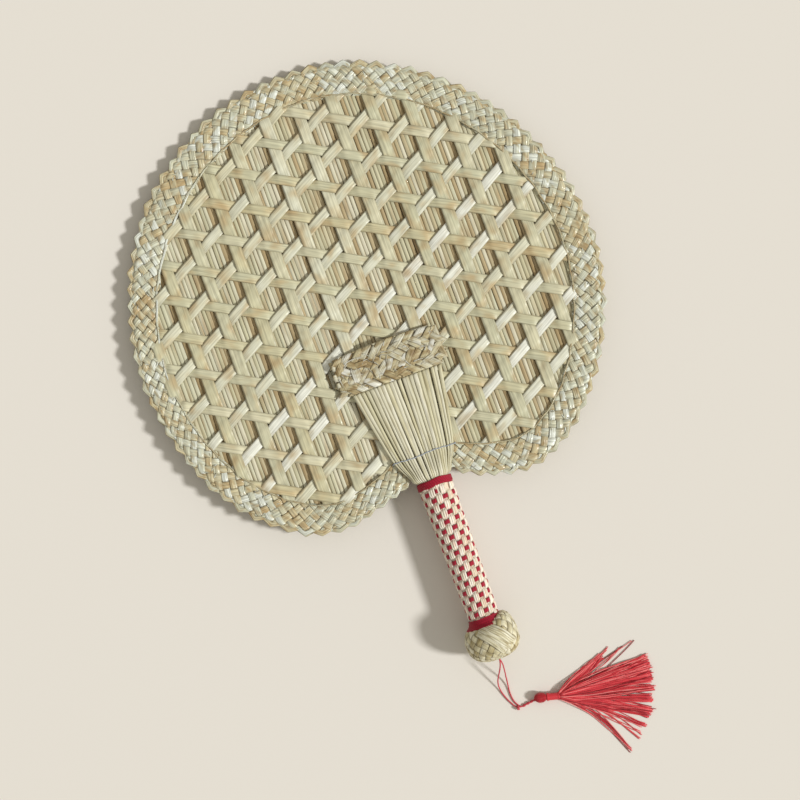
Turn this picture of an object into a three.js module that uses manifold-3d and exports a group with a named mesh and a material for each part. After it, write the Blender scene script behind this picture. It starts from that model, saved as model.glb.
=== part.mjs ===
// Woven straw fan with a bound round handle, a woven knob and a red cord tassel.
// Millimetres. The fan lies face up on a table at z = 0, and +Y points to the top of its blade.
// The blade and handle are built in the fan's own frame: y = 0 is the blade's bottom edge at the
// handle, the handle runs down -Y, and +Z comes out of the front.
import * as THREE from 'three';
import { mergeVertices } from 'three/addons/utils/BufferGeometryUtils.js';
import Module from 'manifold-3d';

// Clearance between pieces that touch or cross
const gap = 0.3;

// Blade outline: a round crown over two lobes with a notch for the handle
const bladeWidth = 304;
const crownHeight = 163;
const lobeDepth = 130;
const lobeSpacing = 118;
const notchWidth = 28;
const notchRise = 18;
const crownRoundness = 1.95;
const sideRoundness = 1.75;
const lobeRoundness = 1.5;

// Core mat of parallel straws, which stops short of the border's toothed edge
const matThickness = 1.8;
const matSetback = 3;

// Border braid, front and back
const borderWidth = 22;
const borderThickness = 2.4;
const toothPitch = 11;
const toothDepth = 2;

// Open hexagon weave: upright strips, and strips that fall and rise to the right
const columnPitch = 22.7;
const slantPitch = 24.9;
const weaveStart = 22.9;
const uprightWidth = 8;
const slantWidth = 6.7;
const stripThickness = 0.5;
const shortestStrip = 18;
const holeUnevenness = 0.04;

// Neck straws, which fan out from the handle over the blade
const strawCount = 22;
const strawThickness = 2.6;
const pressedThickness = 0.8;
const neckTopWidth = 61;
const neckTieWidth = 40;
const neckTieHeight = 14.7;
const neckTieArch = 1.2;
const neckWaistWidth = 28;
const neckWaistHeight = 3.7;
const neckFootAngle = 80;
const strawTuck = 10;
const strawFlute = 0.5;

// Patch braid over the straw ends, and the thread across the neck
const patchWidth = 74;
const patchHeight = 27.5;
const patchThickness = 2.2;
const patchBottom = 64.6;
const patchArch = 2;
const neckThread = 0.6;

// Handle
const gripTopRadius = 11.2;
const gripBottomRadius = 9.8;
const gripLength = 91.3;
const sleeveWall = 1.6;
const strawFootRadius = 10.9;
const strawFootThickness = 2.4;
const upperBandDrop = 2.6;
const upperBandHeight = 4.5;
const upperBandTurns = 3;
const lowerBandHeight = 3.1;
const lowerBandTurns = 2;
const bandThread = 0.7;
const weftThread = 0.8;
const weftTurns = 17;
const weftMargin = 2.8;

// Knob
const knobRadius = 17.6;
const knobHeight = 25;
const knobRoundness = 2.5;
const knobWall = 1.6;
const socketDepth = 10;
const anchorRadius = 3;
const anchorStem = 1.4;
const anchorProud = 0.4;

// Cord and tassel
const cordThickness = 0.9;
const cordLift = 0.15;
const knotRadius = 1.5;
const twistThickness = 1.6;
const headLength = 7.6;
const headThickness = 6.4;
const wrapLength = 8;
const wrapThickness = 5;
const skirtLength = 61;
const skirtRootWidth = 4;
const skirtSpread = 47;
const skirtEndThickness = 2.4;
const skirtEdgeShare = 0.5;
const tasselHeading = -15;

// Routes of the two strands of the loop: x and y from the cord's exit, and height above the
// table as a share of the exit's height
const leftRoute = [
  [0, -0.6, 1.035], [-0.3, -2.4, 1], [-1, -4.8, 0.93], [-2, -7.2, 0.82], [-3.2, -9.6, 0.67],
  [-4.4, -12, 0.5], [-5.5, -14.4, 0.34], [-6.2, -16.8, 0.2], [-6.5, -19.2, 0.1], [-6.4, -21.6, 0.035],
  [-6, -24, 0.01], [-5.3, -26.4, 0], [-4.4, -28.8, 0], [-3.3, -31.2, 0], [-2.2, -33.2, 0],
  [-1.3, -34.8, 0],
];
const rightRoute = [
  [0, -0.6, 0.965], [0.5, -2.4, 0.93], [0.8, -4.8, 0.86], [0.7, -7.2, 0.74], [0.5, -9.6, 0.59],
  [0.3, -12, 0.43], [0, -14.4, 0.28], [-0.2, -16.8, 0.16], [-0.5, -19.2, 0.075], [-0.8, -21.6, 0.025],
  [-1.1, -24, 0.005], [-1.2, -26.4, 0], [-1.1, -28.8, 0], [-0.7, -31.2, 0], [0, -33.2, 0],
  [0.8, -34.6, 0],
];
const knotPlace = [0.4, -36.8];
const twistRoute = [[2.6, -36.7], [5, -36.6], [7.5, -36.2], [9.8, -35.8], [12, -35.5]];
const headPlace = [16.2, -35.2];

const wasm = await Module();
wasm.setup();

const fan = new THREE.Group();
const model = new THREE.Group();
model.add(fan);

function finish(colour, roughness) {
  return new THREE.MeshStandardMaterial({ color: colour, roughness, metalness: 0 });
}

// Merges doubled corners, drops faces without area, and turns the faces outwards if they point in
function faceOut(geometry) {
  geometry.deleteAttribute('normal');
  geometry.deleteAttribute('uv');
  const merged = mergeVertices(geometry, 1e-4);
  const array = [];
  for (let i = 0; i < merged.index.count; i += 3) {
    const face = [merged.index.getX(i), merged.index.getX(i + 1), merged.index.getX(i + 2)];
    if (new Set(face).size === 3) array.push(...face);
  }
  const corners = [new THREE.Vector3(), new THREE.Vector3(), new THREE.Vector3()];
  let volume = 0;
  for (let i = 0; i < array.length; i += 3) {
    corners.forEach((corner, k) => corner.fromBufferAttribute(merged.attributes.position, array[i + k]));
    volume += corners[0].dot(corners[1].cross(corners[2])) / 6;
  }
  if (volume < 0) {
    for (let i = 0; i < array.length; i += 3) {
      [array[i], array[i + 1]] = [array[i + 1], array[i]];
    }
  }
  merged.setIndex(array);
  merged.computeVertexNormals();
  return merged;
}

function place(parent, name, geometry, colour, roughness) {
  const mesh = new THREE.Mesh(faceOut(geometry), finish(colour, roughness));
  mesh.name = name;
  parent.add(mesh);
  return mesh;
}

function asSolid(geometry) {
  const merged = faceOut(geometry);
  return new wasm.Manifold(new wasm.Mesh({
    numProp: 3,
    vertProperties: new Float32Array(merged.attributes.position.array),
    triVerts: new Uint32Array(merged.index.array),
  }));
}

function asGeometry(solid) {
  const { vertProperties, triVerts } = solid.getMesh();
  const geometry = new THREE.BufferGeometry();
  geometry.setAttribute('position', new THREE.BufferAttribute(vertProperties, 3));
  geometry.setIndex(new THREE.BufferAttribute(triVerts, 1));
  return geometry;
}

// A plate of the outline, with its holes, between two heights
function plate(outline, holes, low, high) {
  const counterclockwise = (ring) => (THREE.ShapeUtils.isClockWise(ring) ? ring.slice().reverse() : ring);
  const shape = new THREE.Shape(counterclockwise(outline));
  shape.holes = holes.map((hole) => new THREE.Path(counterclockwise(hole)));
  const geometry = new THREE.ExtrudeGeometry(shape, { depth: high - low, bevelEnabled: false });
  return geometry.translate(0, 0, low);
}

// A closed body through rings of points, with its end caps filled in the plane that flat gives
function loft(rings, flat) {
  const count = rings[0].length;
  const index = [];
  for (let i = 0; i + 1 < rings.length; i += 1) {
    for (let j = 0; j < count; j += 1) {
      const [a, b] = [i * count + j, i * count + ((j + 1) % count)];
      index.push(a, b, b + count, a, b + count, a + count);
    }
  }
  for (const [ring, start] of [[rings[0], 0], [rings.at(-1), (rings.length - 1) * count]]) {
    const contour = ring.map(flat);
    const turn = Math.sign(THREE.ShapeUtils.area(contour)) * (start === 0 ? -1 : 1);
    for (const face of THREE.ShapeUtils.triangulateShape(contour, [])) {
      const facing = Math.sign(THREE.ShapeUtils.area(face.map((k) => contour[k])));
      const ordered = facing === turn ? face : [face[1], face[0], face[2]];
      index.push(...ordered.map((k) => k + start));
    }
  }
  const geometry = new THREE.BufferGeometry().setFromPoints(rings.flat());
  geometry.setIndex(index);
  return geometry;
}

function tube(curve, diameter, sides, steps) {
  const section = new THREE.Shape();
  section.absarc(0, 0, diameter / 2, 0, 2 * Math.PI);
  const round = new THREE.Shape(section.getSpacedPoints(sides).slice(0, sides));
  return new THREE.ExtrudeGeometry(round, { steps, extrudePath: curve });
}

// A thread wound round the fan's axis, from one height down to another
class Winding extends THREE.Curve {
  constructor(turns, top, bottom, radiusAt) {
    super();
    this.arcLengthDivisions = turns * 72;
    Object.assign(this, { turns, top, bottom, radiusAt });
  }

  getPoint(t, target = new THREE.Vector3()) {
    const y = THREE.MathUtils.lerp(this.top, this.bottom, t);
    const angle = 2 * Math.PI * this.turns * t;
    const radius = this.radiusAt(y);
    return target.set(radius * Math.sin(angle), y, radius * Math.cos(angle));
  }
}

// How far the turns of a winding stay apart, measured on its centre line
function leastGap(curve, diameter) {
  const perTurn = 48;
  const points = curve.getPoints(curve.turns * perTurn);
  let least = Infinity;
  for (let i = 0; i < points.length; i += 1) {
    for (let j = i + perTurn / 2; j < points.length; j += 1) {
      least = Math.min(least, points[i].distanceTo(points[j]) - diameter);
    }
  }
  return least;
}

function winding(name, curve, diameter, sides, stepsPerTurn, colour) {
  place(fan, name, tube(curve, diameter, sides, curve.turns * stepsPerTurn), colour, 0.8);
  console.log(`${name}: least gap to itself ${leastGap(curve, diameter).toFixed(2)} mm`);
}

// One quarter of a superellipse, from one angle to another, without its last point
function quarter(centreX, centreY, reachX, reachY, roundness, from, to, steps) {
  const points = [];
  for (let i = 0; i < steps; i += 1) {
    const angle = THREE.MathUtils.degToRad(THREE.MathUtils.lerp(from, to, i / steps));
    const across = Math.max(0, Math.cos(angle)) ** (2 / roundness);
    const up = Math.max(0, Math.sin(angle)) ** (2 / roundness);
    points.push(new THREE.Vector2(centreX + reachX * across, centreY + reachY * up));
  }
  return points;
}

const widestHeight = lobeDepth - notchRise;
const bladeTop = widestHeight + crownHeight;

// The blade's outline, taken in by inset, clockwise from the top
function bladeOutline(inset, fineness = 1) {
  const half = bladeWidth / 2 - inset;
  const [lobe, notch] = [lobeSpacing / 2, notchWidth / 2];
  const right = [
    ...quarter(0, widestHeight, half, crownHeight - inset, crownRoundness, 90, 0, 14 * fineness),
    ...quarter(lobe, widestHeight, half - lobe, inset - lobeDepth, sideRoundness, 0, 90, 12 * fineness),
    ...quarter(lobe, inset, notch - lobe, -notchRise, lobeRoundness, 90, 0, 6 * fineness),
    new THREE.Vector2(notch, inset),
  ];
  const left = right.slice(1).reverse().map((p) => new THREE.Vector2(-p.x, p.y));
  return [...right, ...left];
}

// The border's outer edge from one corner of the notch round to the other: points at even steps,
// and every other one taken in between two teeth
function toothedOutline() {
  const round = bladeOutline(0, 3);
  const half = (round.length + 1) / 2;
  const path = [...round.slice(half), ...round.slice(0, half)];
  const lengths = [0];
  path.slice(1).forEach((p, i) => lengths.push(lengths[i] + p.distanceTo(path[i])));
  const steps = 2 * Math.round(lengths.at(-1) / toothPitch);
  const points = [path[0]];
  let k = 0;
  for (let i = 1; i < steps; i += 1) {
    const along = (i / steps) * lengths.at(-1);
    while (lengths[k + 1] < along) k += 1;
    const [from, to] = [path[k], path[k + 1]];
    const point = from.clone().lerp(to, (along - lengths[k]) / (lengths[k + 1] - lengths[k]));
    const inward = to.clone().sub(from).normalize().rotateAround(new THREE.Vector2(), -Math.PI / 2);
    const besideHandle = point.y < widestHeight && Math.abs(point.x) < notchWidth;
    points.push(i % 2 && !besideHandle ? point.addScaledVector(inward, toothDepth) : point);
  }
  points.push(path.at(-1));
  return points;
}

const matHalf = matThickness / 2;
const borderTop = matHalf + gap + borderThickness;
const layerStep = gap + stripThickness;
const weaveTop = matHalf + 3 * layerStep;
const faceTop = Math.max(borderTop, weaveTop);

function makeMat() {
  place(fan, 'core_mat', plate(bladeOutline(matSetback), [], -matHalf, matHalf), 0xcdbf98, 0.7);
}

function makeBorders() {
  const [outer, inner] = [toothedOutline(), bladeOutline(borderWidth)];
  place(fan, 'front_border_braid', plate(outer, [inner], matHalf + gap, borderTop), 0xd4c8a2, 0.6);
  place(fan, 'back_border_braid', plate(outer, [inner], -borderTop, -matHalf - gap), 0xd4c8a2, 0.6);
}

// The strips that run one way, each trimmed to the border's inner edge
function makeStrips(name, layer, width, slope, heights) {
  const low = matHalf + gap + layer * layerStep;
  const field = asSolid(plate(bladeOutline(borderWidth + gap), [], low, low + stripThickness));
  let number = 0;
  for (const [x, y] of heights) {
    const long = new THREE.BoxGeometry(4 * bladeWidth, width, 4 * stripThickness);
    long.rotateZ(slope).translate(x, y, low + stripThickness / 2);
    const pieces = field.intersect(asSolid(long)).decompose();
    const strip = pieces.sort((a, b) => b.volume() - a.volume())[0];
    if (strip && strip.volume() > shortestStrip * width * stripThickness) {
      number += 1;
      place(fan, `front_${name}_strip_${String(number).padStart(2, '0')}`, asGeometry(strip), 0xd9d0ae, 0.5);
    }
  }
}

function makeFrontWeave() {
  const columns = Math.ceil(bladeWidth / 2 / columnPitch);
  const rows = Math.ceil((bladeTop + lobeDepth) / slantPitch);
  const slope = Math.atan2(slantPitch / 2, columnPitch);
  const span = (count) => Array.from({ length: 2 * count + 1 }, (_, i) => i - count);
  makeStrips('upright', 0, uprightWidth, Math.PI / 2, span(columns).map((i) => [i * columnPitch, 0]));
  makeStrips('falling', 1, slantWidth, -slope, span(rows).map((i) => [0, weaveStart + i * slantPitch]));
  makeStrips('rising', 2, slantWidth, slope, span(rows).map((i) => [0, weaveStart + (i - 0.5) * slantPitch]));
}

// The back's weave as one net with hexagon holes, which differ a little in size as hand work does
function makeBackWeave() {
  const field = bladeOutline(borderWidth + gap);
  const rise = slantPitch / 2;
  const halfWide = columnPitch / 2 - uprightWidth / 2;
  const peak = rise - slantWidth / 2 / Math.cos(Math.atan2(rise, columnPitch));
  const shoulder = peak - (rise / columnPitch) * halfWide;
  const corners = [[0, peak], [halfWide, shoulder], [halfWide, -shoulder], [0, -peak], [-halfWide, -shoulder],
    [-halfWide, shoulder]];
  const rim = slantWidth / 2;
  const reach = corners.map(([dx, dy]) => [dx * (1 + rim / halfWide), dy * (1 + rim / peak)]);
  const holes = [];
  for (let i = -Math.ceil(bladeWidth / columnPitch); i < bladeWidth / columnPitch; i += 1) {
    for (let j = -Math.ceil(lobeDepth / slantPitch); j < bladeTop / slantPitch; j += 1) {
      const x = (i + 0.5) * columnPitch;
      const y = weaveStart + (j + 0.25 + (Math.abs(i) % 2) / 2) * slantPitch;
      const size = 1 - holeUnevenness * Math.abs(Math.sin(7 * i + 3 * j));
      const hole = corners.map(([dx, dy]) => new THREE.Vector2(x + dx * size, y + dy * size));
      if (reach.every(([dx, dy]) => isInside(x + dx, y + dy, field))) holes.push(hole);
    }
  }
  place(fan, 'back_weave', plate(field, holes, -weaveTop, -matHalf - gap), 0xd9d0ae, 0.5);
}

function isInside(x, y, outline) {
  let inside = false;
  outline.forEach((a, i) => {
    const b = outline[(i + 1) % outline.length];
    if (a.y > y !== b.y > y && x < a.x + ((y - a.y) / (b.y - a.y)) * (b.x - a.x)) inside = !inside;
  });
  return inside;
}

// Where the neck straws run, from the top end down to the handle: half width, heights of the
// layer's middle at its sides and at its crown, how round it is, and its thickness
function station(y, half, side, crown, round, thick) {
  return { y, half, side, crown, round, thick };
}

const strawBase = faceTop + gap;
const footRadius = strawFootRadius - strawFootThickness / 2;
const footAngle = THREE.MathUtils.degToRad(neckFootAngle);
const footSide = footRadius * Math.cos(footAngle);
const footHalf = footRadius * Math.sin(footAngle);
const topHalf = neckTopWidth / 2;
const pressed = strawBase + pressedThickness / 2;
const resting = strawBase + strawThickness / 2;
const patchEdge = patchBottom - gap;
const bandBottom = -upperBandDrop - upperBandHeight;
const tie = station(neckTieHeight, neckTieWidth / 2, resting, resting + neckTieArch, 0.2, strawThickness);
const neckStations = [
  station(patchBottom + strawTuck, topHalf, pressed, pressed, 0, pressedThickness),
  station(patchEdge, topHalf, pressed, pressed, 0, pressedThickness),
  station(patchEdge - strawThickness, topHalf, resting, resting, 0, strawThickness),
  tie,
  station(neckWaistHeight, neckWaistWidth / 2, resting, footRadius, 0.7, strawThickness),
  station(0, footHalf + strawThickness, resting, footRadius, 0.9, strawFootThickness),
  station(-upperBandDrop, footHalf, footSide, footRadius, 1, strawFootThickness),
  station(bandBottom, footHalf, footSide, footRadius, 1, strawFootThickness),
];

// A point on the middle of the straw layer: u runs from -1 at its left side to 1 at its right
function neckMiddle(at, u) {
  const angle = u * footAngle;
  const across = THREE.MathUtils.lerp(u, Math.sin(angle) / Math.sin(footAngle), at.round);
  const up = (Math.cos(angle) - Math.cos(footAngle)) / (1 - Math.cos(footAngle));
  return new THREE.Vector2(at.half * across, THREE.MathUtils.lerp(at.side, at.crown, up));
}

// A point off that middle, along its normal
function neckPoint(at, u, offset) {
  const along = neckMiddle(at, u + 0.01).sub(neckMiddle(at, u - 0.01)).normalize();
  const middle = neckMiddle(at, u);
  return new THREE.Vector3(middle.x - along.y * offset, at.y, middle.y + along.x * offset);
}

function makeNeckStraws(name, facing) {
  const rings = neckStations.map((at) => {
    const ring = [];
    for (let i = 0; i <= 2 * strawCount; i += 1) {
      const flute = i % 2 ? 0 : Math.min(strawFlute, at.thick / 3);
      ring.push(neckPoint(at, i / strawCount - 1, at.thick / 2 - flute));
    }
    for (let i = strawCount / 2; i >= 0; i -= 1) {
      ring.push(neckPoint(at, (4 * i) / strawCount - 1, -at.thick / 2));
    }
    return ring;
  });
  const geometry = loft(rings, (p) => new THREE.Vector2(p.x, p.z));
  place(fan, name, geometry.scale(1, 1, facing), 0xd8d2b2, 0.5);
}

function makeNeckThread(name, facing) {
  const radius = neckThread / 2;
  const over = tie.thick / 2 + gap + radius;
  const side = tie.half + gap + neckThread;
  const arch = [];
  for (let i = -4; i <= 4; i += 1) {
    arch.push(neckPoint(tie, i / 4, over));
  }
  const points = [
    new THREE.Vector3(-side - radius, tie.y, strawBase + radius),
    new THREE.Vector3(-side, tie.y, strawBase + radius + gap),
    ...arch,
    new THREE.Vector3(side, tie.y, strawBase + radius + gap),
    new THREE.Vector3(side + radius, tie.y, strawBase + radius),
  ];
  const geometry = tube(new THREE.CatmullRomCurve3(points), neckThread, 6, 24);
  place(fan, name, geometry.scale(1, 1, facing), 0x8f9fb4, 0.6);
}

function makePatch(name, facing) {
  const half = patchWidth / 2;
  const top = patchBottom + patchHeight;
  const outline = [];
  for (let i = 0; i <= 6; i += 1) {
    const x = THREE.MathUtils.lerp(-half, half, i / 6);
    outline.push(new THREE.Vector2(x, top - patchArch * (x / half) ** 2));
  }
  outline.push(new THREE.Vector2(half, patchBottom), new THREE.Vector2(-half, patchBottom));
  const low = strawBase + pressedThickness + gap;
  place(fan, name, plate(outline, [], low, low + patchThickness).scale(1, 1, facing), 0xb59b66, 0.7);
}

// Heights down the handle
const sleeveTop = bandBottom - gap;
const sleeveBottom = sleeveTop - gripLength;
const knobRim = sleeveBottom - gap;

function gripRadius(y) {
  return THREE.MathUtils.mapLinear(y, sleeveTop, sleeveBottom, gripTopRadius, gripBottomRadius);
}

function turned(profile, segments) {
  return new THREE.LatheGeometry(profile.map(([r, y]) => new THREE.Vector2(r, y)), segments);
}

const coreInset = sleeveWall + gap;
const coreFoot = gripBottomRadius - coreInset;
const coreEnd = knobRim - socketDepth;
const roundSides = 24;

function makeHandleCore() {
  const spigot = strawFootRadius - strawFootThickness - gap;
  const profile = [[0, -gap], [spigot, -gap], [spigot, sleeveTop], [gripTopRadius - coreInset, sleeveTop],
    [coreFoot, sleeveBottom], [coreFoot, coreEnd], [0, coreEnd]];
  place(fan, 'handle_core', turned(profile, roundSides), 0xb8a574, 0.8);
}

function makeGripSleeve() {
  const outer = [[gripTopRadius, sleeveTop], [gripBottomRadius, sleeveBottom]];
  const inner = outer.map(([radius, y]) => [radius - sleeveWall, y]).reverse();
  const profile = [...inner, ...outer, inner[0]];
  place(fan, 'grip_sleeve', turned(profile, roundSides), 0xd8d0b4, 0.6);
}

// What the chords of a winding lose on its radius
function chordSag(radius, stepsPerTurn) {
  return radius * (1 - Math.cos(Math.PI / stepsPerTurn));
}

function makeWindings() {
  const red = 0xb5152f;
  const weftSteps = 14;
  const bandSteps = 20;
  const bandRadius = (radius) => radius + gap + chordSag(radius, bandSteps) + bandThread / 2;
  const weftRadius = (y) => gripRadius(y) + gap + chordSag(gripRadius(y), weftSteps) + weftThread / 2;
  const upperTop = -upperBandDrop - bandThread / 2;
  const upperEnd = bandBottom + bandThread / 2;
  const lowerTop = sleeveBottom + lowerBandHeight - bandThread / 2;
  const lowerEnd = sleeveBottom + bandThread / 2;
  const upper = new Winding(upperBandTurns, upperTop, upperEnd, () => bandRadius(strawFootRadius));
  const lower = new Winding(lowerBandTurns, lowerTop, lowerEnd, (y) => bandRadius(gripRadius(y)));
  const weftTop = sleeveTop - weftMargin;
  const weftEnd = sleeveBottom + lowerBandHeight + weftMargin;
  const weft = new Winding(weftTurns, weftTop, weftEnd, weftRadius);
  winding('upper_red_band', upper, bandThread, 6, bandSteps, red);
  winding('lower_red_band', lower, bandThread, 6, bandSteps, red);
  winding('grip_weft_thread', weft, weftThread, 4, weftSteps, 0xb02035);
}

// The knob is a squared ball; this gives its height above the middle at a radius
function knobSwell(radius, wide, tall) {
  return tall * (1 - (radius / wide) ** knobRoundness) ** (1 / knobRoundness);
}

const knobHole = coreFoot + gap;
const stemHole = anchorStem + gap;
const knobMiddle = knobRim - knobSwell(knobHole, knobRadius, knobHeight / 2);
const knobFoot = knobMiddle - knobHeight / 2;

// The knob's side from its upper hole to its lower one, taken in by inset
function knobSide(inset, upperHole, lowerHole, steps) {
  const [wide, tall] = [knobRadius - inset, knobHeight / 2 - inset];
  const top = Math.asin((knobSwell(upperHole, wide, tall) / tall) ** (knobRoundness / 2));
  const bottom = -Math.asin((knobSwell(lowerHole, wide, tall) / tall) ** (knobRoundness / 2));
  const points = [];
  for (let i = 0; i <= steps; i += 1) {
    const angle = THREE.MathUtils.lerp(top, bottom, i / steps);
    const up = Math.sign(angle) * Math.abs(Math.sin(angle)) ** (2 / knobRoundness);
    points.push([wide * Math.cos(angle) ** (2 / knobRoundness), knobMiddle + tall * up]);
  }
  return points;
}

function makeKnob() {
  const outer = knobSide(0, knobHole, stemHole, 12);
  const inner = knobSide(knobWall, knobHole, stemHole, 8).reverse();
  place(fan, 'knob_cover', turned([...outer, ...inner, outer[0]], roundSides), 0xc9be92, 0.6);
  const inset = knobWall + gap;
  const pocket = anchorRadius + gap;
  const side = knobSide(inset, knobHole, pocket, 8);
  const socketFloor = coreEnd - gap;
  const pocketRoof = knobFoot + inset + 2 * anchorRadius + gap;
  const profile = [[0, socketFloor], [knobHole, socketFloor], ...side, [pocket, pocketRoof], [0, pocketRoof]];
  place(fan, 'knob_core', turned(profile, roundSides), 0xb8a574, 0.8);
}

const stemEnd = knobFoot - anchorProud;

function makeAnchor() {
  const middle = knobFoot + knobWall + gap + anchorRadius;
  const start = Math.acos(anchorStem / anchorRadius);
  const profile = [[0, middle + anchorRadius]];
  for (let i = 1; i <= 6; i += 1) {
    const angle = THREE.MathUtils.lerp(Math.PI / 2, -start, i / 6);
    profile.push([anchorRadius * Math.cos(angle), middle + anchorRadius * Math.sin(angle)]);
  }
  profile.push([anchorStem, stemEnd], [0, stemEnd]);
  place(fan, 'cord_anchor', turned(profile, 12), 0xc0283a, 0.8);
}

makeMat();
makeBorders();
makeFrontWeave();
makeBackWeave();
makeNeckStraws('front_neck_straws', 1);
makeNeckStraws('back_neck_straws', -1);
makeNeckThread('front_neck_thread', 1);
makeNeckThread('back_neck_thread', -1);
makePatch('front_patch_braid', 1);
makePatch('back_patch_braid', -1);
makeHandleCore();
makeGripSleeve();
makeWindings();
makeKnob();
makeAnchor();

// Laid down, the fan rests on the knob and on the back of the border's far edge
fan.rotation.x = -Math.atan2(knobRadius - borderTop, bladeTop - knobMiddle);
const box = new THREE.Box3().setFromObject(fan, true);
const middle = box.getCenter(new THREE.Vector3());
fan.position.set(-middle.x, -middle.y, -box.min.z);
model.updateMatrixWorld(true);
const exit = fan.localToWorld(new THREE.Vector3(0, stemEnd, 0));

const tassel = new THREE.Group();
model.add(tassel);
tassel.position.set(exit.x, exit.y, 0);

function makeStrand(name, route) {
  const rest = cordLift + cordThickness / 2;
  const height = (share) => THREE.MathUtils.lerp(rest, exit.z, share);
  const points = route.map(([x, y, share]) => new THREE.Vector3(x, y, height(share)));
  const curve = new THREE.CatmullRomCurve3(points);
  place(tassel, name, tube(curve, cordThickness, 8, 20), 0xd02c3c, 0.8);
  console.log(`${name}: ${curve.getLength().toFixed(1)} mm long`);
}

function makeTassel() {
  const red = 0xd02c3c;
  const knot = place(tassel, 'loop_knot', new THREE.SphereGeometry(knotRadius, 10, 6), red, 0.8);
  knot.position.set(...knotPlace, knotRadius);
  const twist = twistRoute.map(([x, y]) => new THREE.Vector3(x, y, cordLift + twistThickness / 2));
  place(tassel, 'twisted_cord', tube(new THREE.CatmullRomCurve3(twist), twistThickness, 8, 6), red, 0.8);
  const body = new THREE.Group();
  body.position.set(...headPlace, 0);
  body.rotation.z = THREE.MathUtils.degToRad(tasselHeading);
  tassel.add(body);
  const head = new THREE.SphereGeometry(headThickness / 2, 12, 8);
  head.scale(headLength / headThickness, 1, 1).translate(0, 0, headThickness / 2);
  place(body, 'tassel_head', head, red, 0.8);
  const wrap = new THREE.CylinderGeometry(wrapThickness / 2, wrapThickness / 2, wrapLength, 12);
  const wrapStart = headLength / 2 + gap;
  wrap.rotateZ(Math.PI / 2).translate(wrapStart + wrapLength / 2, 0, wrapThickness / 2);
  place(body, 'tassel_wrap', wrap, red, 0.8);
  makeSkirt(body, wrapStart + wrapLength + gap);
}

// The skirt lies on the table as a fan of threads: thick at the wrap, thin at its cut ends
function makeSkirt(body, start) {
  const half = THREE.MathUtils.degToRad(skirtSpread / 2);
  const steps = 8;
  const rings = [];
  for (let i = 0; i <= steps; i += 1) {
    const t = i / steps;
    const reach = skirtLength * t;
    const high = THREE.MathUtils.lerp(wrapThickness, skirtEndThickness, Math.sqrt(t));
    const ring = [];
    for (const top of [true, false]) {
      for (let j = -5; j <= 5; j += 1) {
        const u = (top ? j : -j) / 5;
        const edge = 1 - (1 - skirtEdgeShare) * u * u;
        const x = start + reach * Math.cos(u * half);
        const y = reach * Math.sin(u * half) + (u * skirtRootWidth) / 2;
        ring.push(new THREE.Vector3(x, y, top ? high * edge : 0));
      }
    }
    rings.push(ring);
  }
  place(body, 'tassel_skirt', loft(rings, (p) => new THREE.Vector2(p.y, p.z)), 0xd02c3c, 0.8);
}

makeStrand('left_loop_strand', leftRoute);
makeStrand('right_loop_strand', rightRoute);
makeTassel();

export default model;
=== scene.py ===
import math
from collections import namedtuple

import bpy
import numpy as np
from mathutils import Matrix, Vector


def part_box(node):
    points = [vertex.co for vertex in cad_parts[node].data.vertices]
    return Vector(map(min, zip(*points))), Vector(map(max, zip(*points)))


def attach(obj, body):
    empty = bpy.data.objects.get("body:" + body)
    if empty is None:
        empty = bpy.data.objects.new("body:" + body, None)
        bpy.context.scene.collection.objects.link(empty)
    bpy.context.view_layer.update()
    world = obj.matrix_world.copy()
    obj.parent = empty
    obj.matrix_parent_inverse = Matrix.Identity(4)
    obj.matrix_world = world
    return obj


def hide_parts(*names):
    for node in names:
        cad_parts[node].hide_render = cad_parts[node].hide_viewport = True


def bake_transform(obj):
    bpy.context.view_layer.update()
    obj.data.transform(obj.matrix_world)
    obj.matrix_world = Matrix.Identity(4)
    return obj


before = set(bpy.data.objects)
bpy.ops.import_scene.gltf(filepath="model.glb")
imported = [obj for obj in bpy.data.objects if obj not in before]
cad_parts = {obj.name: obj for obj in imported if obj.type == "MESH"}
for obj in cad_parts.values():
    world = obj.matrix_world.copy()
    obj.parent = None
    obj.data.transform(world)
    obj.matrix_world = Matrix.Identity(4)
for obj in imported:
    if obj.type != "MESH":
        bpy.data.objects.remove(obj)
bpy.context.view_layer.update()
chance = np.random.default_rng(11)
between = chance.uniform

# Sizes in millimetres, in the fan's upright frame: x to the right, y up from the notch, z out of its front
MM = 0.001
BLADE_WIDTH = 304
CROWN_HEIGHT = 163
CROWN_ROUNDNESS = 1.95
LOBE_DEPTH = 130
LOBE_MIDDLE = 59
LOBE_ROUNDNESS = 1.75
NOTCH_HALF = 14
NOTCH_RISE = 18
NOTCH_ROUNDNESS = 1.5
WIDEST = LOBE_DEPTH - NOTCH_RISE
BLADE_TOP = WIDEST + CROWN_HEIGHT
MAT_SETBACK = 3
MAT_MIDDLE = 128.5
MAT_STRAW = 2.6
# Millimetres left of each upright strip's middle where its shadow falls on the mat, painted browner
MAT_SHADE = (-7.4, -3)
BORDER_WIDTH = 22
BORDER_TOP = 3.6
TOOTH_PITCH = 10.3
TOOTH_LEG = 7.2
PLAIT_PITCH = 7.3
RIDGE_PITCH = 17
BORDER_SPLITS = 110

COLUMN = 22.7
SLANT = 24.9
WEAVE_START = 22.9
SLOPE = SLANT / 2 / COLUMN
UPRIGHT_HALF = 4
SLANT_HALF = 3.35
WEAVE_HEIGHT = 2.4
WEAVE_LIFT = 0.65
WEAVE_TUCK = 0.9
WEAVE_OVERLAP = 3.8

PATCH_HALF = 37
PATCH_FOOT = 66.4
PATCH_HEIGHT = 24
PATCH_MIDDLE = 78
PATCH_PITCH = 7
PATCH_ROWS = 7
PATCH_SPLITS = 44

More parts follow.
